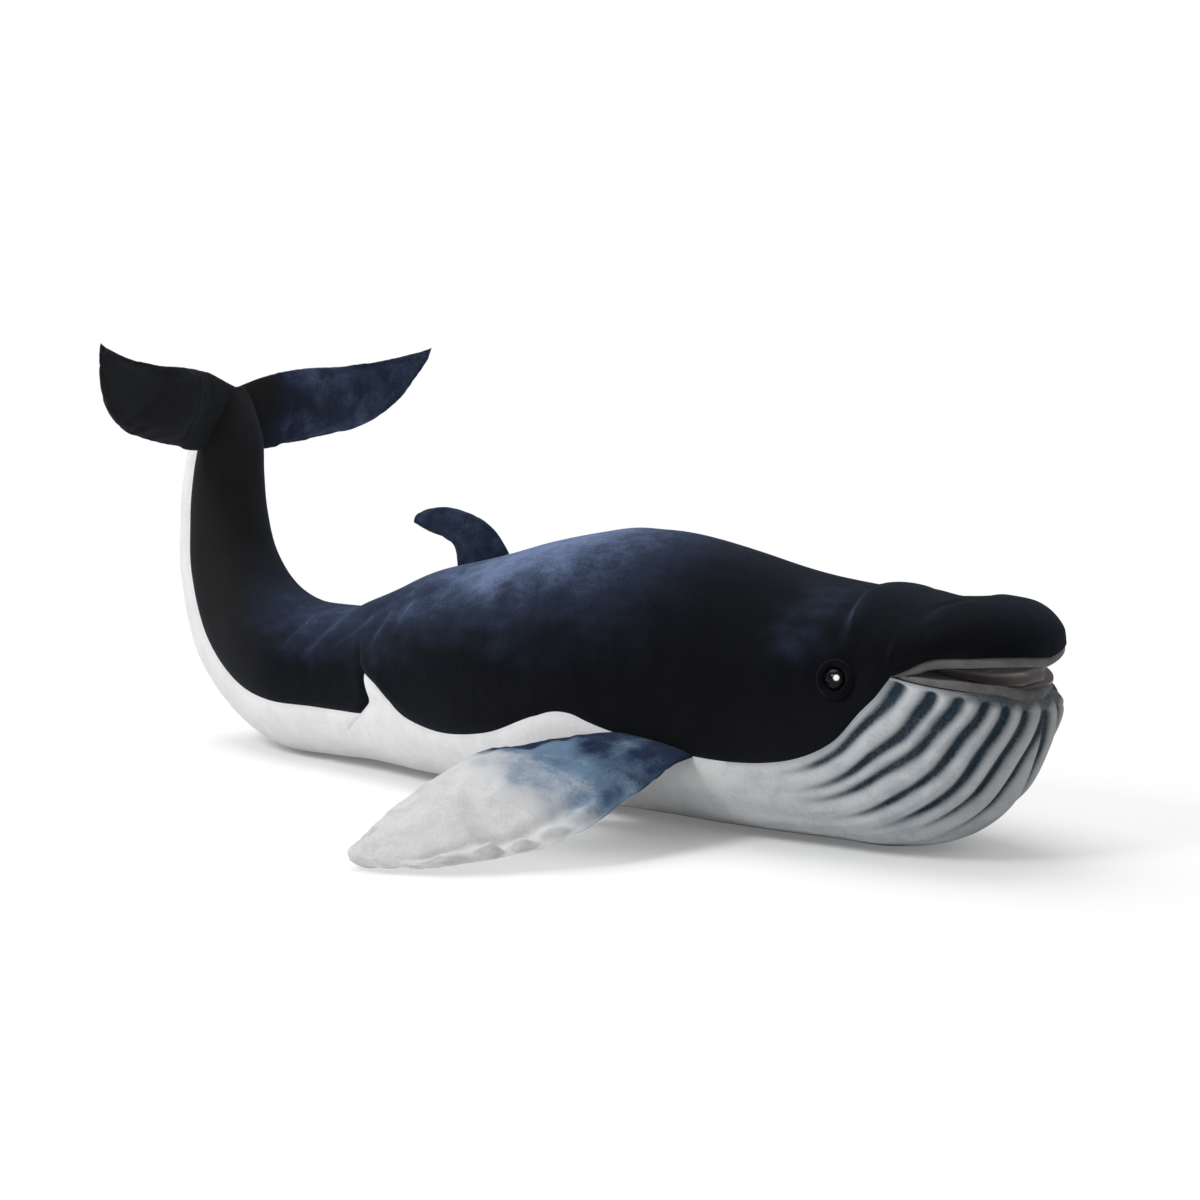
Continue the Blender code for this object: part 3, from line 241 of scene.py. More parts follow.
# Creases of the dark covers from their upper end: places as a station and a share
# of a quarter turn, width, depth, height of the rim in front. Those that start
# at the top cross over to the other side.
CREASES = (
    (((21.0, 0.995), (21.15, 0.845), (21.40, 0.70), (21.50, 0.59), (21.65, 0.465),
      (21.70, 0.335), (21.6, 0.25)), 0.0042, 0.0028, 0.0020),
    (((27.2, 0.92), (27.0, 0.835), (26.55, 0.76), (26.5, 0.62), (26.55, 0.485), (26.7, 0.40)),
     0.0050, 0.0013, 0.0012),
    (((7.9, 0.885), (8.0, 0.585), (7.95, 0.42), (7.85, 0.255)), 0.0045, 0.0011, 0.0009),
    (((9.35, 0.82), (8.9, 0.52), (8.6, 0.33), (8.5, 0.205)), 0.0050, 0.0012, 0.0009),
    (((10.8, 0.75), (10.65, 0.55), (9.7, 0.445), (9.2, 0.33)), 0.0040, 0.0010, 0.0007),
    (((11.65, 0.60), (11.3, 0.485), (10.9, 0.385), (10.6, 0.30)), 0.0035, 0.0010, 0.0008),
    (((12.2, 0.66), (12.1, 0.58), (11.85, 0.47), (11.6, 0.345)), 0.0035, 0.0008, 0.0006),
)

CAMERA_TURN = math.radians(37.0)
CAMERA_RISE = math.radians(8.5973)
CAMERA_DISTANCE = 1.7801
CAMERA_TARGET = Vector((-0.03705, 0.074615, 0.104899))
CAMERA_LENS = 84.0
LAMP_TARGET = Vector((0.0, 0.0, 0.08))
WHITE = (1.0, 1.0, 1.0)
BLACK = (0.0, 0.0, 0.0)


class Wire:
    """A shader socket that takes part in Python expressions."""

    def __init__(self, graph, socket):
        self.graph = graph
        self.socket = socket

    def maths(self, operation, *values):
        return self.graph.node("ShaderNodeMath", list(values), operation=operation)

    def __add__(self, other):
        return self.maths("ADD", self, other)

    __radd__ = __add__

    def __mul__(self, other):
        return self.maths("MULTIPLY", self, other)

    __rmul__ = __mul__

    def __sub__(self, other):
        return self.maths("SUBTRACT", self, other)

    def __rsub__(self, other):
        return self.maths("SUBTRACT", other, self)

    def ramp(self, low, high):
        """Smooth step from 0 at low to 1 at high."""
        return self.graph.node(
            "ShaderNodeMapRange", {"Value": self, "From Min": low, "From Max": high},
            interpolation_type="SMOOTHSTEP")


class Graph:
    """The nodes of a new material or world, all made by one method."""

    def __init__(self, owner):
        self.owner = owner
        owner.use_nodes = True
        self.tree = owner.node_tree
        self.tree.nodes.clear()

    def node(self, kind, inputs=(), output=0, **settings):
        """Node with its settings, and with its sockets' values or links."""
        made = self.tree.nodes.new(kind)
        for key, value in settings.items():
            setattr(made, key, value)
        pairs = inputs.items() if isinstance(inputs, dict) else enumerate(inputs)
        for key, value in pairs:
            if isinstance(value, Wire):
                self.tree.links.new(value.socket, made.inputs[key])
            else:
                made.inputs[key].default_value = value
        return Wire(self, made.outputs[output]) if made.outputs else None

    def place(self):
        return self.node("ShaderNodeTexCoord", output="Object")

    def attribute(self, name):
        return self.node("ShaderNodeAttribute", output="Fac", attribute_name=name)

    def noise(self, scale, detail=3.0, stretch=None, distortion=0.0):
        place = self.place()
        if stretch:
            place = self.node("ShaderNodeMapping", {"Vector": place, "Scale": stretch})
        return self.node("ShaderNodeTexNoise", {
            "Vector": place, "Scale": scale, "Detail": detail, "Distortion": distortion})

    def mix(self, share, first, second):
        """Colour between two colours, by a share that may be a wire."""
        return self.node(
            "ShaderNodeMix", {"Factor": share, 6: first, 7: second}, output=2, data_type="RGBA")

    def finish(self, bump=None, **sockets):
        """Principled shader. A bump is a pair of its height and its depth."""
        inputs = {name.replace("_", " "): value for name, value in sockets.items()}
        if bump:
            height, depth = bump
            inputs["Normal"] = self.node(
                "ShaderNodeBump", {"Height": height, "Distance": depth, "Strength": 1.0})
        return self.surface(self.node("ShaderNodeBsdfPrincipled", inputs))

    def surface(self, shader, kind="ShaderNodeOutputMaterial"):
        self.node(kind, {"Surface": shader})
        return self.owner


def new_graph(name):
    return Graph(bpy.data.materials.new(name))


def made_once(name, make):
    """The material of this name, from make(graph) where it isn't there yet."""
    return bpy.data.materials.get(name) or make(new_graph(name))


def colour(values):
    """Red, green and blue with a full alpha."""
    return (*values, 1.0)


def plush(name, paint, sheen, sheen_tint=WHITE):
    """Short brushed pile. paint(graph, brush, tufts) gives the colour of the fibres."""
    def make(graph):
        fibres = graph.noise(2600.0, 2.0)
        tufts = graph.noise(620.0, 3.0)
        brush = graph.noise(75.0, 4.0, (1.0, 1.0, 0.55), 0.6)
        return graph.finish(
            (fibres * 0.45 + tufts * 0.55, 0.0007),
            Base_Color=paint(graph, brush, tufts), Roughness=0.95,
            Sheen_Weight=sheen, Sheen_Roughness=0.45, Sheen_Tint=colour(sheen_tint),
            Specular_IOR_Level=0.02)
    return made_once(name, make)


def fluff(brush, tufts):
    """From 0 where the pile is brushed down to 1 where it stands up."""
    return (brush * 0.6 + tufts * 0.4).ramp(0.30, 0.70)


def dark_paint(black, grey, navy, blue):
    """Black pile, grey where it is worn, that turns navy and blue by its dye mask, partly dye and
    partly painted light.
    """
    def paint(graph, brush, tufts):
        dye = graph.attribute("dye")
        strokes = graph.noise(210.0, 3.0, (0.45, 1.0, 0.8), 0.8)
        mottle = (brush - 0.5) * 1.1 + (strokes - 0.5) * 0.9 + (tufts - 0.5) * 0.9
        dyed = dye + mottle * (dye * 0.50 + 0.03)
        worn = graph.attribute("worn") + (brush - 0.5) * 0.3
        base = graph.mix(worn, colour(black), colour(grey))
        base = graph.mix(dyed.ramp(0.02, 0.42), base, colour(navy))
        return graph.mix(dyed.ramp(0.28, 1.0), base, colour(blue))
    return paint


def white_paint(light, shade):
    """White pile, a little darker where it is brushed down."""
    def paint(graph, brush, tufts):
        return graph.mix(fluff(brush, tufts), colour(shade), colour(light))
    return paint


def throat_paint(white, white_shade, light, shade, groove, front):
    """White to greyer ridges and teal grooves; painted shade at the front, under the lip and along
    the floor.
    """
    def paint(graph, brush, tufts):
        lit = fluff(brush, tufts)
        plain = graph.mix(lit, colour(white_shade), colour(white))
        grain = graph.noise(85.0, 4.0, (0.22, 1.0, 1.5), 0.3)
        streaky = (grain * 0.65 + lit * 0.35).ramp(0.30, 0.66)
        ridge = graph.mix(streaky, colour(shade), colour(light))
        ridge = graph.mix(graph.attribute("chin"), plain, ridge)
        # The front mask lays painted shade on the front of the throat.
        ridge = graph.mix(graph.attribute("front"), ridge, colour(front))
        mask = graph.attribute("groove")
        mask = mask + ((tufts - 0.5) * 0.5 + (brush - 0.5) * 0.4) * mask
        return graph.mix(mask.ramp(0.0, 1.05), ridge, colour(groove))
    return paint


def tie_dye_paint(light, shade, blue, deep):
    """White pile dyed blue near the root, in soft streaks."""
    def paint(graph, brush, tufts):
        streaks = graph.noise(60.0, 5.0, (0.7, 1.4, 1.0), 0.35) - 0.5
        pile = (brush - 0.5) * 0.7 + (tufts - 0.5) * 0.5
        dye = graph.attribute("dye")
        pale = dye + (streaks * 0.9 + pile) * (dye + 0.10)
        dark = graph.attribute("deep")
        full = dark + (streaks * 1.2 + pile) * dark
        base = graph.mix(fluff(brush, tufts), colour(shade), colour(light))
        base = graph.mix(pale.ramp(0.05, 0.95), base, colour(blue))
        return graph.mix(full.ramp(0.10, 1.00), base, colour(deep))
    return paint


def fabric(name, base, darker):
    """Close-woven felt, darker by a share in places and by its dye mask: blotches on the lower lip,
    the plates evenly, painted shade at the tongue's edge.
    """
    def make(graph):
        weave = graph.noise(1500.0, 3.0)
        cloud = graph.noise(90.0, 3.0)
        dark = colour(darker * value for value in base)
        tone = graph.mix((cloud * 0.7 + weave * 0.3).ramp(0.35, 0.65), colour(base), dark)
        tone = graph.mix(graph.attribute("dye"), tone, colour(colours().felt_stain_and_shade))
        return graph.finish(
            (weave, 0.0004), Base_Color=tone, Roughness=0.9,
            Sheen_Weight=0.15, Sheen_Roughness=0.5, Specular_IOR_Level=0.2)
    return made_once(name, make)


def speckled(name, scale, stretch, dark, light, **sockets):
    """Hard finish with a fine grain."""
    graph = new_graph(name)
    grain = graph.noise(scale, 2.0, stretch)
    tone = graph.mix(grain.ramp(0.3, 0.7), colour(dark), colour(light))
    return graph.finish((grain, 0.0001), Base_Color=tone, **sockets)


def spline(rows, places):
    """Catmull-Rom values of a table of rows at places between them."""
    last = len(rows) - 1
    places = np.clip(places, 0.0, last)
    low = np.minimum(places.astype(int), last - 1)
    part = (places - low)[..., None]
    before, start = rows[np.maximum(low - 1, 0)], rows[low]
    end, after = rows[low + 1], rows[np.minimum(low + 2, last)]
    return 0.5 * (
        2.0 * start + (end - before) * part
        + (2.0 * before - 5.0 * start + 4.0 * end - after) * part**2
        + (3.0 * start - before - 3.0 * end + after) * part**3)


def seam_angle(shares, places):
    share = spline(shares[:, None], places)[..., 0]
    fullness = np.where(share >= 0.0, UPPER_FULLNESS, LOWER_FULLNESS)
    return np.copysign(np.arcsin(np.minimum(np.abs(share), 1.0) ** (1.0 / fullness)), share)


def tail_seam(station):
    return seam_angle(TAIL_SEAM_SHARES, station)


def body_seam(station):
    angle = seam_angle(BODY_SEAM_SHARES, station - RING_STATION)
    return np.where(station >= LIP_STATION, 0.0, angle)


def smooth_step(low, high, value):
    share = np.clip((value - low) / (high - low), 0.0, 1.0)
    return share * share * (3.0 - 2.0 * share)


def bell(value, width):
    """A hump of height 1 where the value is 0."""
    return np.exp(-(value / width) ** 2)


def skin(station, turn):
    """Points of the whale's surface. The turn is 0 at the left, a quarter at the top."""
    rows = spline(STATIONS, station)
    top_x, top_z, mid_x, mid_z, keel_x, keel_z, half_width = np.moveaxis(rows, -1, 0)
    up = np.sin(turn)
    out = np.cos(turn)
    upper = up >= 0.0
    # The upper lip is arched, and the tail narrows where the flukes meet.
    mid_z = mid_z + MOUTH_ARCH * smooth_step(LIP_STATION, LIP_STATION + 2.4, station)
    narrow = TAIL_END_SHARE + (1.0 - TAIL_END_SHARE) * smooth_step(-0.4, 2.2, station)
    half_width = half_width * narrow
    fullness = np.where(upper, UPPER_FULLNESS, LOWER_FULLNESS)
    lift = np.abs(up) ** fullness
    reach = np.sign(out) * np.abs(out) ** fullness
    x = mid_x + (np.where(upper, top_x, keel_x) - mid_x) * lift
    z = mid_z + (np.where(upper, top_z, keel_z) - mid_z) * lift
    # The arch goes on round the front of the snout.
    z = z + 2.0 * MOUTH_ARCH * smooth_step(30.0, 32.0, station) * np.abs(up * out)
    points = np.stack((x, half_width * reach, z), -1)
    # Past the tail's end the last section closes like a dome.
    dome = np.clip(-station, 0.0, 1.0)[..., None]
    middle = np.stack(((top_x + keel_x) / 2.0, np.zeros_like(top_x), (top_z + keel_z) / 2.0), -1)
    closed = middle + (points - middle) * np.sqrt(1.0 - dome**2)
    return closed + np.array((0.0, 0.0, TAIL_CAP)) * dome


def skin_normals(station, turn, low, high):
    step = 4.0e-3
    low, high = min(low, station.min()), max(high, station.max())
    ahead = np.minimum(station + step, high)
    behind = np.maximum(station - step, low)
    along = skin(ahead, turn) - skin(behind, turn)
    around = skin(station, turn + step) - skin(station, turn - step)
    normals = np.cross(around, along)
    return normals / np.maximum(np.linalg.norm(normals, axis=-1, keepdims=True), TINY)


def distances(points, line):
    """Distance of points to a polyline, and the share of the way along it."""
    best = np.full(points.shape[:-1], 1.0)
    along = np.zeros(points.shape[:-1])
    for index, (start, end) in enumerate(zip(line, line[1:])):
        way = end - start
        share = np.clip((points - start) @ way / max(way @ way, TINY), 0.0, 1.0)
        gap = np.linalg.norm(points - start - share[..., None] * way, axis=-1)
        nearer = gap < best
        best = np.where(nearer, gap, best)
        along = np.where(nearer, (index + share) / (len(line) - 1), along)
    return best, along


def rough(points, scale, seed):
    """Smooth noise from -1 to 1 at each point."""
    flat = points.reshape(-1, 3) / scale + seed
    values = [noise.noise(Vector(point)) for point in flat]
    return np.array(values).reshape(points.shape[:-1])


def line_on_skin(places, side):
    """Points on the skin from pairs of a station and a share of a quarter turn."""
    places = np.array(places)
    turn = places[:, 1] * QUARTER_TURN
    turn = turn if side > 0 else math.pi - turn
    return skin(places[:, 0], turn)


class Cover:
    """A patch of the whale's skin with its seams, folds and thickness."""

    def __init__(self, rows, columns, low, high, seam, side=0):
        """A dark cover lies on one side, and a white one, of side 0, on both."""
        self.dark = side != 0
        stations = np.linspace(low, high, rows)
        shares = np.linspace(0.0 if self.dark else -1.0, 1.0, columns)
        self.plain_station, self.share = np.meshgrid(stations, shares, indexing="ij")
        edge = seam(self.plain_station)
        if self.dark:
            sides = np.full_like(self.share, float(side))
            self.angle = edge + (QUARTER_TURN - edge) * self.share
        else:
            sides = np.where(self.share >= 0.0, 1.0, -1.0)
            self.angle = -QUARTER_TURN + (edge + QUARTER_TURN) * np.abs(self.share)
        turn = np.where(sides > 0.0, self.angle, math.pi - self.angle)
        # The ring seam leans forward above the white cover's peak.
        lean = smooth_step(-0.45, 0.45, self.angle / QUARTER_TURN) - RING_LEAN_MIDDLE
        near_ring = bell(self.plain_station - RING_STATION, 1.5)
        self.station = self.plain_station + RING_LEAN * lean * near_ring
        self.base = skin(self.station, turn)
        self.normals = skin_normals(self.station, turn, low, high)
        self.relief = np.zeros_like(self.share)
        self.masks = {}
        arc = np.cumsum(np.linalg.norm(np.diff(self.base, axis=1), axis=-1), axis=1)
        arc = np.concatenate((np.zeros((rows, 1)), arc), axis=1)
        self.from_top = arc[:, -1:] - arc
        self.from_seam = arc if self.dark else np.minimum(arc, self.from_top)
        spacing = np.linalg.norm(np.gradient(self.base, axis=0), axis=-1)
        self.pace = spacing / (stations[1] - stations[0])

    def press(self, distance, width, depth):
        """Groove along where the distance is zero. A negative depth raises a ridge."""
        self.relief -= depth * bell(distance, width)

    def fold(self):
        """Stuffing, seams and creases."""
        self.swell()
        self.sew()
        if self.dark:
            self.crease()

    def swell(self):
        """The slight unevenness of stuffing under the cloth."""
        self.relief += sizes().unevenness * (
            rough(self.base, 0.070, 3.7) + 0.4 * rough(self.base, 0.024, 8.7))

    def sew(self):
        """Seams between the covers, and the ring where the tail is joined."""
        depth = sizes().seam_depth
        away = np.where(self.station >= LIP_STATION, 1.0, self.from_seam)
        self.press(away, 0.0022, depth)
        self.press(away - 0.009, 0.006, -0.5 * depth)
        ring = np.abs(self.plain_station - RING_STATION) * self.pace
        height = self.angle / QUARTER_TURN
        fade = smooth_step(0.62, 0.05, height) * smooth_step(-0.45, -0.10, height)
        self.press(ring, 0.0020, depth * fade)
        self.press(ring - 0.008, 0.005, -0.4 * depth * fade)
        if self.dark:
            self.press(self.from_top, 0.0015, 0.10 * depth)

    def crease(self):
        """The creases, each with a raised rim, and a painted highlight on the rim in patches, in
        the rim mask.
        """
        self.masks["rim"] = np.zeros_like(self.share)
        patchy = 0.65 + 0.7 * rough(self.base, 0.016, 29.0)
        for places, width, depth, rim in CREASES:
            if not self.station.min() - 1.5 < places[0][0] < self.station.max() + 1.5:
                continue
            over = places[0][1] > 0.95
            for side in (-1.0, 1.0):
                line = line_on_skin(places, side)
                gap, along = distances(self.base, line)
                fade = smooth_step(1.0, 0.45, along)
                if over:
                    fade = np.where(side * self.base[..., 1] >= 0.0, fade, 0.0)
                else:
                    fade = fade * smooth_step(0.0, 0.30, along)
                ahead = distances(self.base, line + np.array((2.0 * width, 0.0, 0.0)))[0]
                lifted = fade * bell(ahead, 1.5 * width)
                rim_highlight = fade * bell(ahead - 0.7 * width, 0.7 * width)
                rim_highlight = rim_highlight * (gap < ahead + 0.6 * width)
                self.relief += rim * lifted - depth * fade * bell(gap, width)
                # The rim mask is a painted highlight along each crease's rim.
                self.masks["rim"] += rim / 0.002 * (0.4 * lifted + 0.9 * rim_highlight) * patchy

    def pull(self, place, radius, depth):
        """Dent round a stitched place."""
        self.press(np.linalg.norm(self.base - place, axis=-1), radius, depth)

    def points(self, depth):
        out = self.base + self.normals * (self.relief - depth)[..., None]
        # The underside rests on the floor.
        out[..., 2] = 0.5 * (out[..., 2] + np.sqrt(out[..., 2] ** 2 + 0.0006**2))
        return out

    def build(self, name, material):
        inner = self.points(sizes().cover_thickness)
        return slab_object(name, self.points(0.0), inner, self.masks, material)


def vectors(items, key="co"):
    """Rows of x, y and z, from a mesh's vertices or from their normals."""
    values = np.empty(len(items) * 3)
    items.foreach_get(key, values)
    return values.reshape(-1, 3)


def read(mesh, name):
    """Values of a mask at a mesh's vertices."""
    values = np.empty(len(mesh.vertices), np.float32)
    mesh.attributes[name].data.foreach_get("value", values)
    return values


def write(mesh, name, values):
    """New mask on a mesh, with a value for each vertex."""
    attribute = mesh.attributes.new(name, "FLOAT", "POINT")
    attribute.data.foreach_set("value", values.astype(np.float32))


def place_points(mesh, points):
    mesh.vertices.foreach_set("co", points.ravel())
    mesh.update()


def mesh_of(name, bm):
    mesh = bpy.data.meshes.new(name)
    bm.to_mesh(mesh)
    bm.free()
    return mesh


def close_up(bm, merge):
    """Merge doubled points and turn the faces outwards."""
    bmesh.ops.remove_doubles(bm, verts=bm.verts[:], dist=merge)
    bmesh.ops.recalc_face_normals(bm, faces=bm.faces[:])


def add_object(name, mesh, material):
    """Object at the origin with its mesh and its material."""
    made = bpy.data.objects.new(name, mesh)
    mesh.materials.append(material)
    bpy.context.scene.collection.objects.link(made)
    return made


def add_grid(bm, rows, columns):
    """Flat grid whose x and y count the rows and the columns."""
    made = bmesh.ops.create_grid(bm, x_segments=rows - 1, y_segments=columns - 1, size=0.5)
    return made["verts"]


def slab_grid(rows, columns):
    """Closed flat box: two grids, at heights 0 and 1, joined round their rims."""
    bm = bmesh.new()
    for height in (0.0, 1.0):
        verts = add_grid(bm, rows, columns)
        bmesh.ops.translate(bm, verts=verts, vec=(0.0, 0.0, height))
    bm.verts.ensure_lookup_table()
    bm.verts.index_update()
    # The rims are joined edge by edge, because an extrusion orders its faces in another
    # way in each run, and the cloth that fills a limb is sensitive to their order.
    rim = [edge for edge in bm.edges if edge.is_boundary and edge.verts[0].co.z < 0.5]
    for edge in rim:
        pair = [vert.index for vert in edge.verts]
        above = [index + rows * columns for index in reversed(pair)]
        bm.faces.new([bm.verts[index] for index in pair + above])
    return bm


def slab_object(name, outer, inner, masks, material, merge=COVER_MERGE_DISTANCE):
    """Closed mesh between two grids of points, with its masks as attributes."""
    rows, columns = outer.shape[:2]
    mesh = mesh_of(name, slab_grid(rows, columns))
    flat = vectors(mesh.vertices)
    row = np.rint((flat[:, 0] + 0.5) * (rows - 1)).astype(int)
    column = np.rint((flat[:, 1] + 0.5) * (columns - 1)).astype(int)
    under = flat[:, 2:] > 0.5
    place_points(mesh, np.where(under, inner[row, column], outer[row, column]))
    for key, values in masks.items():
        write(mesh, key, values[row, column])
    bm = bmesh.new()
    bm.from_mesh(mesh)
    close_up(bm, merge)
    bm.to_mesh(mesh)
    bm.free()
    mesh.update()
    mesh.shade_smooth()
    mesh.set_sharp_from_angle(angle=SHARP_ANGLE)
    return add_object(name, mesh, material)


def stuff(obj, pressure, cap, slack, pinned):
    """Fill a closed form: cloth under pressure, whose points move at most cap."""
    scene = bpy.context.scene
    start = vectors(obj.data.vertices)
    group = obj.vertex_groups.new(name="held")
    weights = np.rint(np.clip(pinned, 0.0, 1.0) * HOLD_LEVELS).astype(int)
    for level in range(1, HOLD_LEVELS + 1):
        indices = [int(index) for index in np.nonzero(weights == level)[0]]
        group.add(indices, level / HOLD_LEVELS, "REPLACE")
    cloth = obj.modifiers.new("stuffing", "CLOTH")
    settings = cloth.settings
    settings.quality = 5
    settings.mass = 0.2
    settings.use_pressure = True
    settings.uniform_pressure_force = pressure
    settings.effector_weights.gravity = 0.0
    settings.vertex_group_mass = "held"
    settings.shrink_min = -slack
    cloth.collision_settings.use_collision = False
    cloth.point_cache.frame_start = 1
    cloth.point_cache.frame_end = STUFFING_FRAMES
    for number in range(1, STUFFING_FRAMES + 1):
        scene.frame_set(number)
    graph = bpy.context.evaluated_depsgraph_get()
    end = vectors(obj.evaluated_get(graph).to_mesh().vertices)
    obj.modifiers.remove(cloth)
    obj.vertex_groups.clear()
    scene.frame_set(1)
    move = end - start
    length = np.linalg.norm(move, axis=1, keepdims=True)
    place_points(obj.data, start + move * np.minimum(1.0, cap / np.maximum(length, 1.0e-9)))


def refine(obj):
    """One level of subdivision, applied."""
    modifier = obj.modifiers.new("refine", "SUBSURF")
    modifier.levels = 1
    modifier.render_levels = 1
    graph = bpy.context.evaluated_depsgraph_get()
    mesh = bpy.data.meshes.new_from_object(obj.evaluated_get(graph))
    old = obj.data
    obj.modifiers.clear()
    obj.data = mesh
    mesh.name = old.name
    mesh.shade_smooth()


def sculpt(mesh, height):
    """Move each point along its normal."""
    normals = vectors(mesh.vertex_normals, "vector")
    place_points(mesh, vectors(mesh.vertices) + normals * height[:, None])


def size_of(name, description, default):
    """Length that a user may change."""
    return bpy.props.FloatProperty(
        name=name, description=description, default=default, subtype="DISTANCE", unit="LENGTH")


def tint(name, description, default):
    """Colour that a user may change."""
    return bpy.props.FloatVectorProperty(
        name=name, description=description, default=default,
        subtype="COLOR", size=3, min=0.0, max=1.0)


class WhaleSizes(bpy.types.PropertyGroup):
    """Lengths, pressure and lean"""
    cover_thickness: size_of(
        "Cover thickness", "Thickness of a cloth cover with its pile", 0.0016)
    seam_depth: size_of("Seam depth", "How far the covers dip at their seams", 0.0012)
    unevenness: size_of("Unevenness", "Height of the dents that the stuffing leaves", 0.0005)
    pleat_rise: size_of("Pleat rise", "Height of the throat's ridges", 0.0026)
    groove_depth: size_of("Groove depth", "Depth of the grooves between the ridges", 0.0012)
    lip_curl: size_of(
        "Lip curl", "How far the throat's edge rolls in under the lower lip", 0.0040)
    lip_thickness: size_of("Lip thickness", "Thickness of the rolled lip bands", 0.0030)
    tongue_height: size_of("Tongue height", "Height of the tongue's round front", 0.0085)
    eye_radius: size_of("Eye radius", "Radius of the eyes' glossy domes", 0.0064)
    bump_height: size_of(
        "Bump height", "Height of the bumps along the flippers' front edge", 0.0060)
    bump_spacing: size_of(
        "Bump spacing", "Distance between the bumps along the flippers' front edge", 0.0160)
    limb_fill: bpy.props.FloatProperty(
        name="Limb fill", description="Pressure that fills the fins, flippers and flukes",
        default=4.0, min=0.0, max=20.0)
    fluke_roll: bpy.props.FloatProperty(
        name="Fluke roll", description="How far the pair of flukes leans to the left",
        default=math.radians(3.3), subtype="ANGLE", unit="ROTATION")


class WhaleColours(bpy.types.PropertyGroup):
    """Colours of the pile, the dye, the felt and the eyes"""
    black: tint("Black", "Pile low on the sides and on the head", (0.0036, 0.0037, 0.0045))
    worn_black: tint("Worn black", "Pile of the tail and flukes", (0.0155, 0.0155, 0.0155))
    # Navy and blue on the back are partly dye and partly painted light from above.
    navy: tint("Navy", "Pile half way up the back", (0.0160, 0.0230, 0.0430))
    blue: tint("Blue", "Pile on top of the back", (0.1300, 0.1720, 0.2900))
    white: tint("White", "Belly pile", (0.760, 0.760, 0.765))
    white_shade: tint("White shade", "Belly pile where it is brushed down", (0.670, 0.675, 0.680))
    throat: tint("Throat", "Pile on the ridges of the throat", (0.500, 0.522, 0.538))
    throat_shade: tint(
        "Throat shade", "Pile of the ridges where it is brushed down", (0.375, 0.405, 0.432))
    # The flipper whites are darker than the belly's: painted shade against the stronger light on
    # the flippers' upper faces.
    flipper: tint("Flipper", "White pile of the flippers", (0.560, 0.560, 0.562))
    flipper_shade: tint(
        "Flipper shade", "White pile of the flippers where it is pressed", (0.450, 0.453, 0.460))
    # The groove colour also paints shade under the lower lip and along the floor.
    groove: tint("Groove", "Pile in the grooves of the throat", (0.016, 0.028, 0.040))
    # The throat front colour is partly the pile's own grey and partly painted shade.
    throat_front_grey_and_shade: tint("Throat front", "Pile at the front of the throat", (0.300, 0.304, 0.312))
    dye_blue: tint("Dye blue", "Blue dye on the flippers", (0.105, 0.165, 0.245))
    dye_deep: tint("Deep dye", "Deepest dye at the flippers' roots", (0.010, 0.018, 0.046))
    grey_lip: tint("Grey lip", "Band under the upper jaw", (0.120, 0.115, 0.117))
    brown_lip: tint("Brown lip", "Band of the lower lip", (0.130, 0.125, 0.130))
    tongue: tint("Tongue", "Tongue and lining of the mouth", (0.520, 0.470, 0.450))
    # The stain colour also paints shade on the tongue's edge.
    felt_stain_and_shade: tint("Lip stain", "Dark blotches and edges of the felt", (0.012, 0.014, 0.018))
    eye: tint("Eye", "Glossy domes of the eyes", (0.003, 0.003, 0.004))
    eye_cloud: tint("Eye cloud", "Faint clouds in the eyes' plastic", (0.005, 0.004, 0.004))


def sizes():
    return bpy.context.scene.whale_sizes


def colours():
    return bpy.context.scene.whale_colours


def dark_plush(name):
    shades = colours()
    paint = dark_paint(shades.black, shades.worn_black, shades.navy, shades.blue)
    return plush(name, paint, 0.08, (0.55, 0.66, 0.95))


def white_plush():
    shades = colours()
    return plush("white_pile", white_paint(shades.white, shades.white_shade), 0.12)


def throat_plush():
    shades = colours()
    paint = throat_paint(
        shades.white, shades.white_shade, shades.throat, shades.throat_shade,
        shades.groove, shades.throat_front_grey_and_shade)
    return plush("throat_pile", paint, 0.12)


def flipper_plush():
    shades = colours()
    paint = tie_dye_paint(
        shades.flipper, shades.flipper_shade, shades.dye_blue, shades.dye_deep)
    return plush("flipper_pile", paint, 0.06)


def back_dye_and_painted_light(cover):
    """Blue on top of the back, fading out down the sides and towards the head: partly dye and
    partly painted light from above.
    """
    height = cover.angle / QUARTER_TURN
    x = cover.base[..., 0]
    cloud = rough(cover.base * (0.6, 1.0, 1.3), 0.026, 11.0)
    cloud = cloud + 0.7 * rough(cover.base * (0.7, 1.0, 1.2), 0.010, 17.0)
    along = smooth_step(-0.270, 0.010, x) * smooth_step(0.165, -0.010, x + 0.012 * cloud)
    dye = along * smooth_step(0.00, 0.95, height + 0.09 * cloud) * (0.88 + 0.10 * cloud)
    # Fainter blue on the head, in a patch above the eye, and at the tail's root.
    wavy = height + 0.12 * cloud
    head = smooth_step(0.100, 0.200, x) * smooth_step(0.330, 0.260, x)
    faint = 0.04 * head * smooth_step(0.05, 0.85, wavy) * (1.0 + cloud)
    patch = np.linalg.norm((cover.base - (0.200, 0.0, 0.128)) * (1.0, 0.0, 0.8), axis=-1)
    faint += 0.15 * bell(patch, 0.024) * (0.8 + cloud)
    root = smooth_step(-0.285, -0.225, x) * smooth_step(-0.120, -0.180, x)
    faint += 0.27 * root * smooth_step(0.05, 0.75, wavy)
    # The crease rims' painted highlight is added to the blue.
    dye = dye + np.maximum(faint, 0.0) * (1.0 - dye) + 0.34 * cover.masks["rim"]
    cover.masks["dye"] = np.clip(dye, 0.0, 1.0)
    worn = smooth_step(-0.190, -0.275, x) + 0.30 * smooth_step(0.25, -0.25, height)
    cover.masks["worn"] = np.clip(worn, 0.0, 1.0)


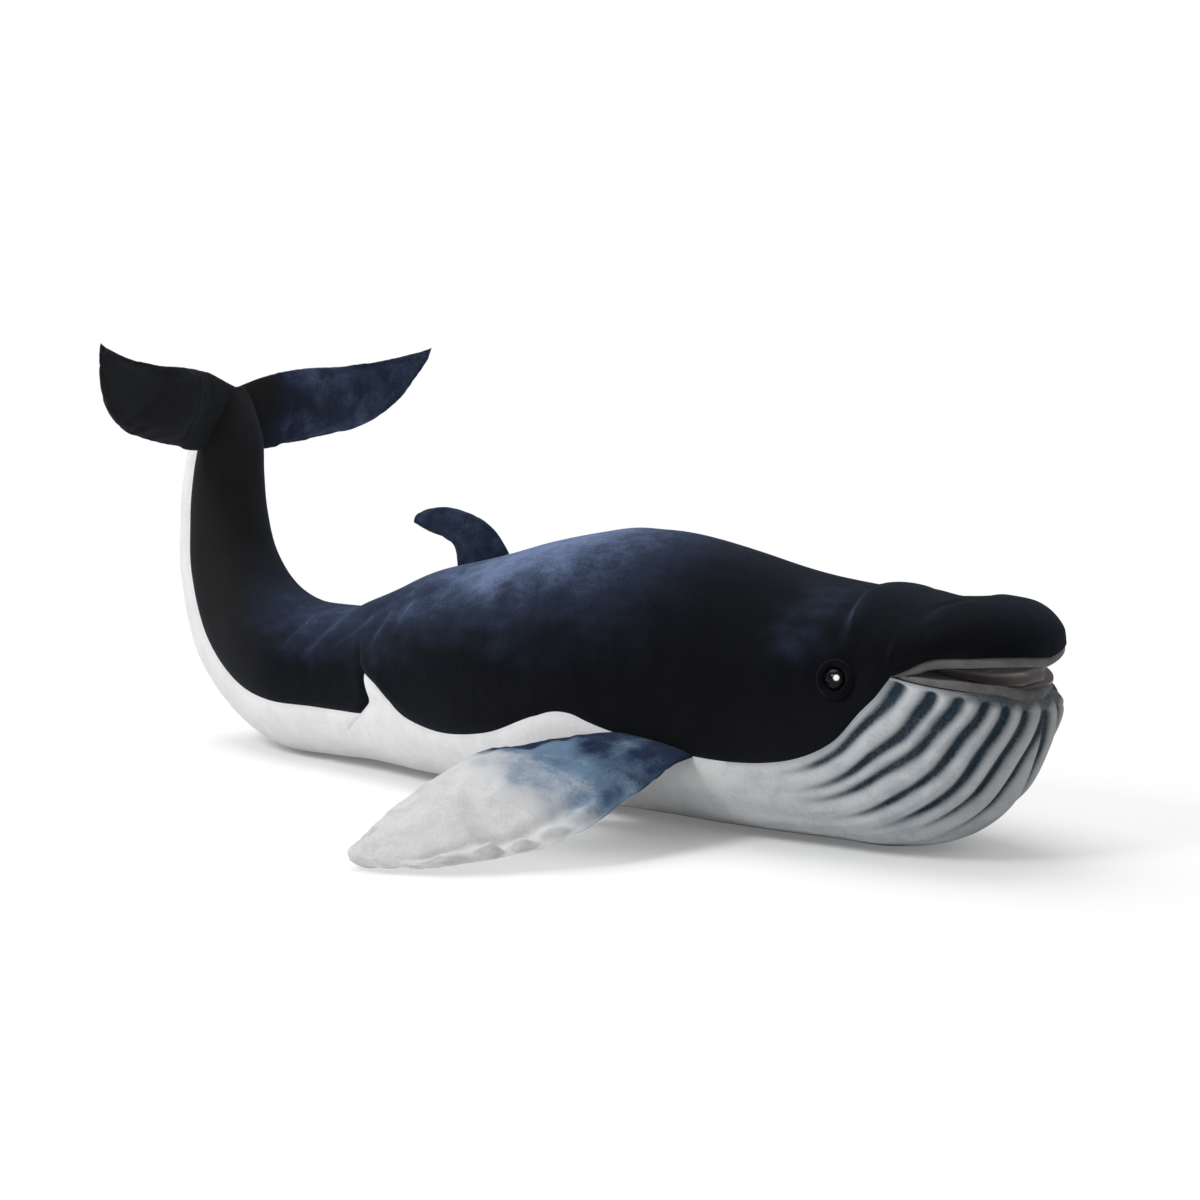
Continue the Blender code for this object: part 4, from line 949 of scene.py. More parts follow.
def bend_tail(obj):
    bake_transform(obj)


class WHALE_OT_back(bpy.types.Operator):
    """Dark covers of the back and head, right and left"""
    bl_idname = "whale.back"
    bl_label = "Back covers"

    def execute(self, context):
        for word, side in (("right", -1), ("left", 1)):
            cover = Cover(321, 61, RING_STATION, SNOUT_STATION, body_seam, side)
            cover.fold()
            cover.pull(np.array(eye_place(side)[0]), 0.014, 0.0012)
            back_dye_and_painted_light(cover)
            made = cover.build("back_" + word, dark_plush("back_pile"))
            stuffing = ["body_filling", "snout_filling"] if side < 0 else []
            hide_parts("back_cover_" + word, *stuffing)
            bend_tail(made)
        return {"FINISHED"}


class WHALE_OT_belly(bpy.types.Operator):
    """White cover of the belly"""
    bl_idname = "whale.belly"
    bl_label = "Belly cover"

    def execute(self, context):
        cover = Cover(141, 101, RING_STATION, THROAT_STATION, body_seam)
        cover.fold()
        cover.masks["chin"] = chin_tone(cover)
        # The belly's groove mask holds only the painted shade along the floor.
        cover.masks["groove"] = painted_floor_shade(cover)
        made = cover.build("belly", throat_plush())
        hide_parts("belly_cover")
        bend_tail(made)
        return {"FINISHED"}


def painted_floor_shade(cover):
    """Painted shade: a darker line where a white cover meets the floor."""
    low = smooth_step(0.0090, 0.0015, cover.base[..., 2])
    return 0.85 * low * smooth_step(12.0, 15.0, cover.station)


def chin_tone(cover):
    """Share of the throat's greyer pile, from the flippers forwards."""
    place = cover.station + 1.0 * rough(cover.base * (0.5, 1.0, 1.6), 0.022, 37.0)
    return 0.75 * smooth_step(17.2, 19.8, place) + 0.25 * smooth_step(19.0, 21.5, place)


def left_sag(shares):
    """The mouth's rim hangs a little lower on the left, as it is sewn by hand."""
    return smooth_step(-0.05, 0.40, shares) * smooth_step(1.0, 0.70, shares)


def pleats(cover):
    """Ridges and grooves of the throat, rolled in under the lip, fading rearwards."""
    station = cover.station
    span = cover.from_seam.max(axis=1, keepdims=True)
    share = np.abs(cover.share)
    near = np.full_like(share, 1.0)
    strength = np.zeros_like(share)
    waver = 0.003 * rough(cover.base, 0.022, 23.0)
    for curve, rear, front in zip(GROOVE_CURVES, GROOVE_REAR_STATIONS, GROOVE_FRONT_STATIONS):
        gap = np.abs(share + waver - np.maximum(np.polyval(curve, station), 0.0)) * span
        held = smooth_step(rear, rear + 2.2, station)
        held = held * smooth_step(front + 0.30, front - 0.10, station)
        nearer = gap < near
        strength = np.where(nearer, held, strength)
        near = np.where(nearer, gap, near)
    low = smooth_step(0.000, 0.014, cover.base[..., 2])
    body = smooth_step(19.3, 22.5, station) * smooth_step(26.0, 25.3, station)
    edge = smooth_step(0.0, 0.005, cover.from_seam)
    cover.relief += sizes().pleat_rise * (1.0 - bell(near, 0.0062)) * body * low * edge
    wide = 0.0023 + 0.0021 * smooth_step(21.5, 25.0, station)
    cover.press(near, wide, sizes().groove_depth * strength * low)
    cover.relief -= sizes().lip_curl * smooth_step(24.9, 26.0, station) ** 2
    cover.base[..., 2] -= 0.0060 * left_sag(cover.share) * smooth_step(24.0, 26.0, station)
    # A dark collar of painted shade lies under the lip and rounds the ends of the ridges.
    lip_shade_collar = smooth_step(25.25, 25.80, station + 0.40 * bell(near, 0.0042))
    lip_shade_collar *= 0.50 + 0.50 * smooth_step(0.285, 0.315, cover.base[..., 0])
    worn = 0.86 + 0.16 * rough(cover.base, 0.014, 31.0)
    groove = strength * (1.10 * bell(near, wide) + 0.22 * bell(near, 0.0062)) * worn
    fuzz = 0.35 * bell(cover.from_seam, 0.0030) * smooth_step(25.9, 24.5, station)
    # The grooves also take the painted shade along the floor.
    groove = np.maximum(groove, 0.75 * lip_shade_collar) + fuzz + painted_floor_shade(cover)
    cover.masks["groove"] = np.clip(groove, 0.0, 1.0)
    # The front mask is painted shade, partly the pile's own grey: the throat's front faces away
    # from the light.
    forward = smooth_step(0.245, 0.330, cover.base[..., 0])
    front = 0.65 * forward * (0.25 + 0.75 * smooth_step(0.9, 0.2, share))
    cover.masks["front"] = np.clip(front, 0.0, 1.0)
    cover.masks["chin"] = chin_tone(cover)


class WHALE_OT_throat(bpy.types.Operator):
    """Pleated cover of the throat"""
    bl_idname = "whale.throat"
    bl_label = "Throat cover"

    def execute(self, context):
        cover = Cover(201, 241, THROAT_STATION, LIP_STATION, body_seam)
        cover.fold()
        pleats(cover)
        made = cover.build("throat", throat_plush())
        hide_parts("throat_cover")
        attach(made, "whale")
        return {"FINISHED"}


class WHALE_OT_tail(bpy.types.Operator):
    """Dark and white covers of the tail"""
    bl_idname = "whale.tail"
    bl_label = "Tail covers"

    def execute(self, context):
        for word, side in (("right", -1), ("left", 1)):
            cover = Cover(201, 61, -1.0, RING_STATION, tail_seam, side)
            cover.fold()
            back_dye_and_painted_light(cover)
            made = cover.build("tail_" + word, dark_plush("tail_pile"))
            stuffing = ["tail_filling"] if side < 0 else []
            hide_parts("tail_cover_" + word, *stuffing)
            bend_tail(made)
        cover = Cover(201, 81, -1.0, RING_STATION, tail_seam)
        cover.fold()
        made = cover.build("tail_belly", white_plush())
        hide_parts("tail_belly_cover")
        bend_tail(made)
        return {"FINISHED"}


def upper_edge(shares):
    """Lower edge of the snout, from the right corner at -1 round to the left at 1."""
    side = np.where(shares >= 0.0, 1.0, -1.0)
    reach = 1.0 - np.abs(shares)
    beside = reach < SNOUT_SIDE_SHARE
    along = LIP_STATION + (SNOUT_STATION - LIP_STATION) * reach / SNOUT_SIDE_SHARE
    round_front = (reach - SNOUT_SIDE_SHARE) / (1.0 - SNOUT_SIDE_SHARE) * QUARTER_TURN
    station = np.where(beside, along, SNOUT_STATION)
    angle = np.where(beside, 0.0, round_front)
    return skin(station, np.where(side > 0.0, angle, math.pi - angle))


def jaw_edge(shares):
    """Rim of the lower jaw, from the right corner at -1 round to the left at 1."""
    angle = -(1.0 - np.abs(shares)) * QUARTER_TURN
    return skin(np.full_like(shares, LIP_STATION), np.where(shares >= 0.0, angle, math.pi - angle))


def level_normals(line):
    """Level outward normals of an edge that runs from right to left round the front."""
    along = np.gradient(line, axis=0)
    normals = np.stack((along[:, 1], -along[:, 0], np.zeros(len(line))), -1)
    return normals / np.linalg.norm(normals, axis=-1, keepdims=True)


def jaw_line(x):
    """Height of the lower jaw's rim at a place along the mouth."""
    corner = STATIONS[LIP_ROW]
    share = (x - corner[MIDDLE_X]) / (corner[KEEL_X] - corner[MIDDLE_X])
    return corner[MIDDLE_Z] + share * (corner[KEEL_Z] - corner[MIDDLE_Z])


def mouth_opening(x):
    """Height between the jaws at a place along the mouth."""
    rim = STATIONS[LIP_ROW:]
    upper = np.interp(x, rim[:, MIDDLE_X], rim[:, MIDDLE_Z])
    return np.maximum(upper - jaw_line(x), 0.0)


def roll(name, middle, outward, half_width, half_height, material, dye=0.0):
    """Closed band along a line: an oval section swept from corner to corner."""
    turns = np.linspace(0.0, 2.0 * math.pi, LIP_SECTION_SIDES + 1)
    rows = len(middle)
    section = np.zeros((rows, LIP_SECTION_SIDES + 1, 3))
    for index, turn in enumerate(turns):
        across, rise = (
            math.copysign(abs(part) ** LIP_SECTION_FULLNESS, part)
            for part in (math.cos(turn), math.sin(turn)))
        section[:, index] = middle + outward * (half_width * across)[:, None]
        section[:, index, 2] += half_height * rise
    section[:, -1] = section[:, 0]
    mask = np.broadcast_to(np.reshape(dye, (-1, 1)), section.shape[:2])
    return tube_object(name, section, {"dye": mask}, material)


def tube_object(name, section, masks, material):
    """Closed tube through rows of points whose first and last column meet."""
    rows, columns = section.shape[:2]
    bm = bmesh.new()
    add_grid(bm, rows, columns)
    layers = {key: bm.verts.layers.float.new(key) for key in masks}
    for vert in bm.verts:
        row = round((vert.co.x + 0.5) * (rows - 1))
        column = round((vert.co.y + 0.5) * (columns - 1))
        vert.co = section[row, column]
        for key, layer in layers.items():
            vert[layer] = float(masks[key][row, column])
    bmesh.ops.remove_doubles(bm, verts=bm.verts[:], dist=FINE_MERGE_DISTANCE)
    bmesh.ops.holes_fill(bm, edges=[edge for edge in bm.edges if edge.is_boundary], sides=0)
    bmesh.ops.recalc_face_normals(bm, faces=bm.faces[:])
    mesh = mesh_of(name, bm)
    mesh.shade_smooth()
    return add_object(name, mesh, material)


class WHALE_OT_mouth(bpy.types.Operator):
    """Lips, palate, floor of the mouth and tongue"""
    bl_idname = "whale.mouth"
    bl_label = "Mouth"

    def execute(self, context):
        upper = self.upper_lip()
        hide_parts("upper_lip_band")
        lower = self.lower_lip()
        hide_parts("lower_lip_band")
        lining = fabric("mouth_felt", colours().tongue, 0.75)
        thick = sizes().lip_thickness
        for name, line, inset, lift, node in (
                ("mouth_roof", upper_edge, thick * 0.8, -0.0003, "palate"),
                ("mouth_base", jaw_edge, thick * 1.9, 0.0003, "mouth_floor")):
            made = self.plate(name, line, inset, lift, lining)
            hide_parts(node)
            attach(made, "whale")
        tongue = self.tongue(lining)
        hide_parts("tongue")
        for made in (upper, lower, tongue):
            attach(made, "whale")
        return {"FINISHED"}

    def upper_lip(self):
        """Grey band under the snout's edge. It narrows with the opening at the corners."""
        thick = sizes().lip_thickness
        shares = np.linspace(-1.0, 1.0, LIP_ROWS)
        edge = upper_edge(shares)
        out = level_normals(edge)
        limit = 0.0050 - 0.0004 * smooth_step(0.80, 0.15, np.abs(shares))
        half_fall = 0.5 * np.minimum(0.70 * mouth_opening(edge[:, 0]), limit) + 0.0004
        middle = edge - out * (0.72 * thick)
        middle[:, 2] -= half_fall
        felt = fabric("lip_felt", colours().grey_lip, 0.7)
        half_width = np.full(LIP_ROWS, 0.5 * thick)
        return roll("upper_lip", middle, out, half_width, half_fall, felt)

    def lower_lip(self):
        """Brown band on the jaw's rim, blotched at the front and lower on the left."""
        shares = np.linspace(-1.0, 1.0, LIP_ROWS)
        reach = np.abs(shares)
        full = smooth_step(1.0, 0.60, reach)
        front = smooth_step(0.40, 0.05, reach)
        left = left_sag(shares)
        rim = jaw_edge(shares)
        out = level_normals(rim)
        middle = rim - out * (sizes().lip_curl + 0.0002)
        middle = middle - out * (0.0030 * left + 0.0015 * front)[:, None]
        middle[:, 2] += 0.0030 * full - 0.0050 * front * (1.0 - left) - 0.0085 * left
        out = out * (1.0 - 0.7 * left)[:, None]
        blotch = smooth_step(0.0, 0.5, rough(rim, 0.012, 2.0)) * smooth_step(0.45, 0.25, reach)
        half_width = 0.0008 + 0.0024 * full
        half_height = 0.0011 + 0.0013 * full + 0.0016 * front
        felt = fabric("brown_felt", colours().brown_lip, 0.6)
        return roll("lower_lip", middle, out, half_width, half_height, felt, 0.8 * blotch)

    def plate(self, name, line, inset, lift, lining):
        """Felt that spans a jaw inside its edge. Its thickness lies away from the opening."""
        reach = np.linspace(0.93, 0.0, 60)
        normals = level_normals(line(np.linspace(-1.0, 1.0, 241)))
        nearest = np.rint((1.0 - reach) * 120).astype(int)
        right = line(-reach) - normals[nearest] * inset
        left = right * (1.0, -1.0, 1.0)
        across = np.linspace(0.0, 1.0, 41)[None, :, None]
        plate = right[:, None] + (left - right)[:, None] * across
        plate[..., 2] += lift
        other = plate + (0.0, 0.0, math.copysign(0.0012, lift))
        masks = {"dye": np.full(plate.shape[:2], 0.35)}
        return slab_object(name, plate, other, masks, lining)

    def tongue(self, lining):
        """Flat stuffed tongue with a round front, and painted shade along its edge."""
        corner = STATIONS[LIP_ROW]
        jaw = corner[KEEL_X] - corner[MIDDLE_X]
        front = corner[KEEL_X] - TONGUE_FRONT_SHARE * jaw
        rear = front - TONGUE_LENGTH_SHARE * jaw
        share, across = np.meshgrid(
            0.5 - 0.5 * np.cos(np.linspace(0.0, math.pi, 61)),
            -np.cos(np.linspace(0.0, math.pi, 81)), indexing="ij")
        x = rear + (front - rear) * share
        tip = (np.maximum(share - 0.62, 0.0) / 0.38) ** 2
        width = TONGUE_HALF_WIDTH * (1.0 - 0.30 * share) * np.sqrt(1.0 - 0.97 * tip)
        low = jaw_line(x) + TONGUE_LIFT
        thick = TONGUE_REAR_HEIGHT + (sizes().tongue_height - TONGUE_REAR_HEIGHT) * share
        edge = np.minimum(
            np.minimum(share, 1.0 - share) * (front - rear), (1.0 - np.abs(across)) * width)
        rounding = 1.0 - np.clip(edge / 0.003, 0.0, 1.0)
        full = np.sqrt(np.clip(1.0 - rounding**2, 0.0, 1.0))
        crown = thick * (0.5 + 0.5 * full) * (1.0 - 0.10 * across**2)
        top = np.stack((x, across * width, low + crown), -1)
        under = np.stack((x, across * width, low + 0.45 * thick * (1.0 - full)), -1)
        # The dye mask on the tongue is painted shade along its edge.
        return slab_object("tongue", top, under, {"dye": bell(edge, 0.0012) * 0.8}, lining)


def limb_rows(shares, origin, axes, length, root):
    """Rear and front edge and thickness of a limb, from its root outwards."""
    rows = [(*root[0], *root[1], 0.7 * shares[0][2])]
    for rear, front, share in shares:
        points = []
        for along, out, up in (rear, front):
            points.extend(origin + length * (axes[0] * along + axes[1] * out + axes[2] * up))
        rows.append((*points, share))
    return np.array(rows)


class Limb:
    """A stuffed fin, flipper or fluke between a top and an under face."""

    def __init__(self, rows, half_thickness, row_count, column_count, thin=0.85):
        places = np.linspace(0.0, len(rows) - 1, row_count)
        values = spline(rows, places)
        chord = 0.5 - 0.5 * np.cos(np.linspace(0.0, math.pi, column_count))
        self.row = np.repeat(places[:, None] / (len(rows) - 1), column_count, axis=1)
        self.chord = np.repeat(chord[None, :], row_count, axis=0)
        rear, front = values[:, None, 0:3], values[:, None, 3:6]
        self.middle = rear + (front - rear) * self.chord[..., None]
        along = np.gradient(self.middle, axis=0)
        across = np.cross(along, np.broadcast_to(front - rear, self.middle.shape))
        self.normals = across / np.maximum(np.linalg.norm(across, axis=-1, keepdims=True), TINY)
        section = np.clip(1.0 - np.abs(2.0 * self.chord - 1.0) ** 2.4, 0.0, 1.0) ** 0.55
        tip = np.sqrt(np.clip(1.0 - np.clip((self.row - 0.94) / 0.06, 0.0, 1.0) ** 2, 0.0, 1.0))
        half = values[:, 6:7] * half_thickness * thin * section * tip
        self.half = half[..., None]

    def build(self, name, material, masks):
        top = self.middle + self.normals * self.half
        under = self.middle - self.normals * self.half
        masks = dict(masks, limb_row=self.row, limb_chord=self.chord)
        return slab_object(name, top, under, masks, material, LIMB_MERGE_DISTANCE)


def fill_limb(made, cap, slack):
    """Swell a limb between its sewn edge and its root, then refine it."""
    row = read(made.data, "limb_row")
    chord = read(made.data, "limb_chord")
    sewn = (chord < 1.0e-3) | (chord > 1.0 - 1.0e-3) | (row > 0.995)
    held = np.maximum(sewn, smooth_step(0.20, 0.04, row))
    stuff(made, sizes().limb_fill, cap, slack, held)
    refine(made)
    return read(made.data, "limb_row"), read(made.data, "limb_chord")


def sewn_nodes(limb):
    """Solids that a flipper or a fluke stands for."""
    return [limb + part for part in ("_top_cover", "_under_cover", "_filling")]


class WHALE_OT_flippers(bpy.types.Operator):
    """Long flippers, dyed blue at their roots"""
    bl_idname = "whale.flippers"
    bl_label = "Flippers"

    def execute(self, context):
        for word, side in (("right", -1), ("left", 1)):
            out = np.array((0.0, side, 0.0))
            turns = FLIPPER_ROOT_SHARES * QUARTER_TURN
            turns = turns if side > 0 else math.pi - turns
            rear, front = skin(FLIPPER_ROOT_STATIONS, turns)
            inset = out * -FLIPPER_ROOT_DEPTH
            axes = (np.array((1.0, 0.0, 0.0)), out, np.array((0.0, 0.0, 1.0)))
            root = (rear + inset, front + inset)
            rows = limb_rows(FLIPPER_ROW_SHARES, rear, axes, FLIPPER_LENGTH, root)
            limb = Limb(rows, FLIPPER_HALF_THICKNESS, 73, 49)
            made = limb.build("flipper_" + word, flipper_plush(), self.dyes(limb, side))
            row, chord = fill_limb(made, LIMB_FILL_CAP, LIMB_SLACK)
            self.roll_edge(made.data, row, chord)
            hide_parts(*sewn_nodes("flipper_" + word))
            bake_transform(made)
        return {"FINISHED"}

    def dyes(self, limb, side):
        """Blue from the root outwards, with deeper bands across and at the rear."""
        level = limb.middle * (1.0, side, 1.0)
        cloud = rough(level * (1.0, 1.0, 0.4), 0.016, 41.0) + 0.6 * rough(level, 0.006, 47.0)
        reach = limb.row - 0.07 * (limb.chord - 0.5) + 0.045 * cloud
        band = 0.5 + 0.9 * rough(level * (1.0, 0.45, 1.0), 0.014, 53.0)
        deep = 0.65 * np.clip(band, 0.0, 1.0) * smooth_step(0.46, 0.18, reach)
        deep += 0.55 * smooth_step(0.34, 0.10, reach)
        deep += 0.9 * smooth_step(0.26, 0.02, limb.chord) * smooth_step(0.50, 0.34, reach)
        return {"dye": smooth_step(0.55, 0.24, reach), "deep": np.clip(deep, 0.0, 1.0)}

    def roll_edge(self, mesh, row, chord):
        """Bumpy roll along the front edge, folds behind it and at the root."""
        points = vectors(mesh.vertices)
        level = points * (1.0, np.sign(points[:, 1].mean()), 1.0)
        in_edge = (1.0 - chord) * (0.105 - 0.045 * np.abs(row - 0.45))
        phase = row * FLIPPER_LENGTH / sizes().bump_spacing * 2.0 * math.pi
        bumps = 0.5 + 0.5 * np.sin(phase + 2.5 * rough(level, 0.04, 3.0))
        bumps = bumps * (0.8 + 0.6 * rough(level, 0.03, 7.0))
        window = smooth_step(0.22, 0.42, row) * smooth_step(0.93, 0.72, row)
        bulge = window * bell(in_edge - 0.0070, 0.0052) * (0.12 + 1.05 * bumps)
        dip = window * bell(in_edge - 0.0165, 0.0050) * (0.7 + 0.6 * rough(level, 0.025, 9.0))
        fold = np.abs(rough(level * (0.9, 0.5, 1.0), 0.012, 53.0))
        root = smooth_step(0.06, 0.16, row) * smooth_step(0.48, 0.34, row + 0.15 * chord)
        height = sizes().bump_height * bulge - 0.0030 * dip - 0.0008 * root * bell(fold, 0.14)
        # The underside stays flatter.
        facing = vectors(mesh.vertex_normals, "vector")[:, 2]
        height *= 0.2 + 0.8 * smooth_step(-0.3, 0.3, facing)
        lumps = 0.0034 * rough(level, 0.032, 61.0) + 0.0010 * rough(level, 0.013, 67.0)
        height += lumps * smooth_step(0.1, 0.3, row) * smooth_step(1.0, 0.85, row)
        rim = smooth_step(0.0, 0.004, in_edge) * smooth_step(0.0, 0.05, chord)
        sculpt(mesh, height * rim)
        # The sewn edge is slightly scalloped.
        points = vectors(mesh.vertices)
        points[:, 0] += 0.0012 * rough(level, 0.010, 83.0) * window * (1.0 - rim)
        place_points(mesh, points)


class WHALE_OT_flukes(bpy.types.Operator):
    """Pair of flukes at the tail's end"""
    bl_idname = "whale.flukes"
    bl_label = "Flukes"

    def execute(self, context):
        ends = spline(STATIONS, np.array((FLUKE_FOOT_STATION, 0.0)))
        x = (ends[:, TOP_X] + ends[:, KEEL_X]) / 2.0
        z = (ends[:, TOP_Z] + ends[:, KEEL_Z]) / 2.0
        foot, end = np.stack((x, np.zeros(2), z), -1)
        along = (end - foot) / np.linalg.norm(end - foot)
        for word, side in (("right", -1), ("left", 1)):
            out = np.array((0.0, side, 0.0))
            axes = (along, out, np.cross(along, out) * side)
            root = (foot - along * 0.004 - out * 0.002, end + along * 0.001 - out * 0.002)
            rows = limb_rows(FLUKE_ROW_SHARES, foot, axes, FLUKE_HALF_SPAN, root)
            limb = Limb(rows, FLUKE_HALF_THICKNESS, 73, 41)
            dye = np.zeros_like(limb.row)
            # Only the left fluke turns blue: painted light, as it is lit while the right one lies
            # in shade.
            if side > 0:
                cloud = rough(limb.middle, 0.024, 71.0) + 0.6 * rough(limb.middle, 0.010, 73.0)
                dye = np.clip(0.42 + 0.16 * cloud, 0.0, 1.0) * smooth_step(0.04, 0.20, limb.row)
            masks = {"dye": dye, "worn": np.full_like(limb.row, 1.0)}
            made = limb.build("fluke_" + word, dark_plush("fluke_pile"), masks)
            row, chord = fill_limb(made, LIMB_FILL_CAP, LIMB_SLACK)
            # A crease at the root, deeper on the left.
            depth = 0.0018 if side > 0 else 0.0003
            crease = depth * bell(row - 0.20 - 0.05 * chord, 0.022) * smooth_step(0.95, 0.45, chord)
            sculpt(made.data, -crease * smooth_step(0.0, 0.1, chord))
            self.lean(made, foot)
            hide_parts(*sewn_nodes("fluke_" + word))
            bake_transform(made)
        return {"FINISHED"}

    def lean(self, made, foot):
        """Roll a fluke about the tail's end, more and more away from its root."""
        angle = sizes().fluke_roll
        for vert in made.data.vertices:
            share = min(abs(vert.co.y) / 0.03, 1.0)
            turn = angle * share
            y, z = vert.co.y, vert.co.z - foot[2]
            vert.co.y = y * math.cos(turn)
            vert.co.z = foot[2] + z - y * math.sin(turn)
        made.data.update()


class WHALE_OT_fin(bpy.types.Operator):
    """Small hooked fin on the back"""
    bl_idname = "whale.fin"
    bl_label = "Back fin"

    def execute(self, context):
        rear, front = skin(FIN_ROOT_STATIONS, np.full(2, QUARTER_TURN))
        along = (rear - front) / np.linalg.norm(rear - front)
        out = np.array((along[2], 0.0, -along[0]))
        axes = (along, out, np.array((0.0, 1.0, 0.0)))
        root = (rear - out * FIN_ROOT_DEPTH, front - out * FIN_ROOT_DEPTH)
        rows = limb_rows(FIN_ROW_SHARES, front, axes, FIN_ROOT_LENGTH, root)
        limb = Limb(rows, FIN_HALF_THICKNESS, 49, 33, thin=0.9)
        masks = {"dye": 0.34 + 0.08 * rough(limb.middle, 0.008, 5.0)}
        made = limb.build("dorsal_fin", dark_plush("fin_pile"), masks)
        fill_limb(made, FIN_FILL_CAP, FIN_SLACK)
        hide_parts("dorsal_fin_cover_left", "dorsal_fin_cover_right", "dorsal_fin_filling")
        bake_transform(made)
        return {"FINISHED"}


def eye_place(side):
    """Middle of an eye on the skin, and its outward direction."""
    angle = EYE_ANGLE_SHARE * QUARTER_TURN
    station = np.array((EYE_STATION,))
    turn = np.array((angle if side > 0 else math.pi - angle,))
    place = Vector(skin(station, turn)[0])
    outward = Vector(skin_normals(station, turn, 0.0, SNOUT_STATION)[0])
    return place, outward


def turned(name, profile, place, outward, material, closed=False):
    """Spin a profile of (radius, height) about the outward line."""
    bm = bmesh.new()
    verts = [bm.verts.new((radius, 0.0, height)) for radius, height in profile]
    for first, second in zip(verts, verts[1:] + (verts[:1] if closed else [])):
        bm.edges.new((first, second))
    bmesh.ops.spin(
        bm, geom=bm.verts[:] + bm.edges[:], cent=(0.0, 0.0, 0.0), axis=(0.0, 0.0, 1.0),
        angle=2.0 * math.pi, steps=EYE_TURN_STEPS, use_merge=True, use_duplicate=False)
    close_up(bm, FINE_MERGE_DISTANCE)
    turn = outward.to_track_quat("Z", "Y").to_matrix().to_4x4()
    turn.translation = place
    bm.transform(turn)
    mesh = mesh_of(name, bm)
    mesh.shade_smooth()
    return add_object(name, mesh, material)


def direction(turn, rise):
    """Unit vector at an angle round from the right side and an angle up."""
    level = math.cos(rise)
    return Vector((math.sin(turn) * level, -math.cos(turn) * level, math.sin(rise)))


def eye_gloss():
    """Black plastic with faint clouds, and a painted catch-light: a glowing spot on the same side
    of both eyes.
    """
    def make(graph):
        shades = colours()
        cloud = graph.noise(300.0, 2.0)
        tone = graph.mix(cloud.ramp(0.3, 0.7), colour(shades.eye), colour(shades.eye_cloud))
        place, outward = eye_place(1)
        # The catch-light is a painted highlight: a spot that glows white, not a reflection.
        towards = direction(PAINTED_GLINT_TURN, PAINTED_GLINT_RISE) * Vector((1.0, -1.0, 1.0))
        spot = place - outward * EYE_SINK + towards * sizes().eye_radius
        mirrored = graph.node("ShaderNodeVectorMath", [graph.place()], operation="ABSOLUTE")
        gap = graph.node(
            "ShaderNodeVectorMath", [mirrored, tuple(spot)], output=1, operation="DISTANCE")
        painted_glint = graph.mix(gap.ramp(0.0021, 0.0011), colour(BLACK), colour(WHITE))
        return graph.finish(
            Base_Color=tone, Roughness=0.06, IOR=1.6, Specular_IOR_Level=0.08,
            Emission_Color=painted_glint, Emission_Strength=0.9)
    return made_once("eye_gloss", make)


class WHALE_OT_eyes(bpy.types.Operator):
    """Glossy eyes in their sewn rings"""
    bl_idname = "whale.eyes"
    bl_label = "Eyes"

    def execute(self, context):
        radius = sizes().eye_radius
        dome = [(radius * math.cos(turn), radius * math.sin(turn) - EYE_SINK)
                for turn in np.linspace(QUARTER_TURN, 0.05, 22)]
        shank = [(EYE_SHANK_RADIUS, 0.0002), (EYE_SHANK_RADIUS, -EYE_SHANK_DEPTH),
                 (0.0, -EYE_SHANK_DEPTH)]
        ring = [(EYELID_RADIUS + EYELID_HALF_WIDTH * math.cos(turn),
                 EYELID_LIFT + EYELID_HALF_HEIGHT * math.sin(turn))
                for turn in np.linspace(0.0, 2.0 * math.pi, 25)[:-1]]
        for word, side in (("right", -1), ("left", 1)):
            place, outward = eye_place(side)
            eye = turned("eye_" + word, dome + shank, place, outward, eye_gloss())
            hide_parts("eye_" + word)
            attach(eye, "whale")
            pile = dark_plush("lid_pile")
            lid = turned("eyelid_" + word, ring, place, outward, pile, closed=True)
            write(lid.data, "dye", np.full(len(lid.data.vertices), 0.05))
            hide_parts("eyelid_" + word)
            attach(lid, "whale")
        return {"FINISHED"}


class WHALE_OT_hidden(bpy.types.Operator):
    """Finish of the washers and of the tail's wire"""
    bl_idname = "whale.hidden"
    bl_label = "Washers and wire"

    def execute(self, context):
        washer = speckled(
            "washer_plastic", 900.0, None, (0.72, 0.72, 0.69), (0.78, 0.78, 0.75),
            Roughness=0.45)
        steel = speckled(
            "armature_steel", 700.0, (1.0, 1.0, 0.1), (0.50, 0.51, 0.53), (0.60, 0.61, 0.63),
            Roughness=0.35, Metallic=1.0)
        finishes = {"eye_washer_right": washer, "eye_washer_left": washer, "tail_wire": steel}
        for name, material in finishes.items():
            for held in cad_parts[name].material_slots:
                held.material = material
        return {"FINISHED"}


def aimed(name, data, target, turn, rise, distance):
    """Lamp or camera that looks at a target from a distance."""
    away = direction(turn, rise)
    made = bpy.data.objects.new(name, data)
    made.location = target + distance * away
    made.rotation_euler = away.to_track_quat("Z", "Y").to_euler()
    bpy.context.scene.collection.objects.link(made)
    return made


def lamp(name, turn, rise, distance, size, power):
    """Square soft lamp, at angles in degrees."""
    light = bpy.data.lights.new(name, "AREA")
    light.shape = "SQUARE"
    light.size = size
    light.energy = power
    aimed(name, light, LAMP_TARGET, math.radians(turn), math.radians(rise), distance)


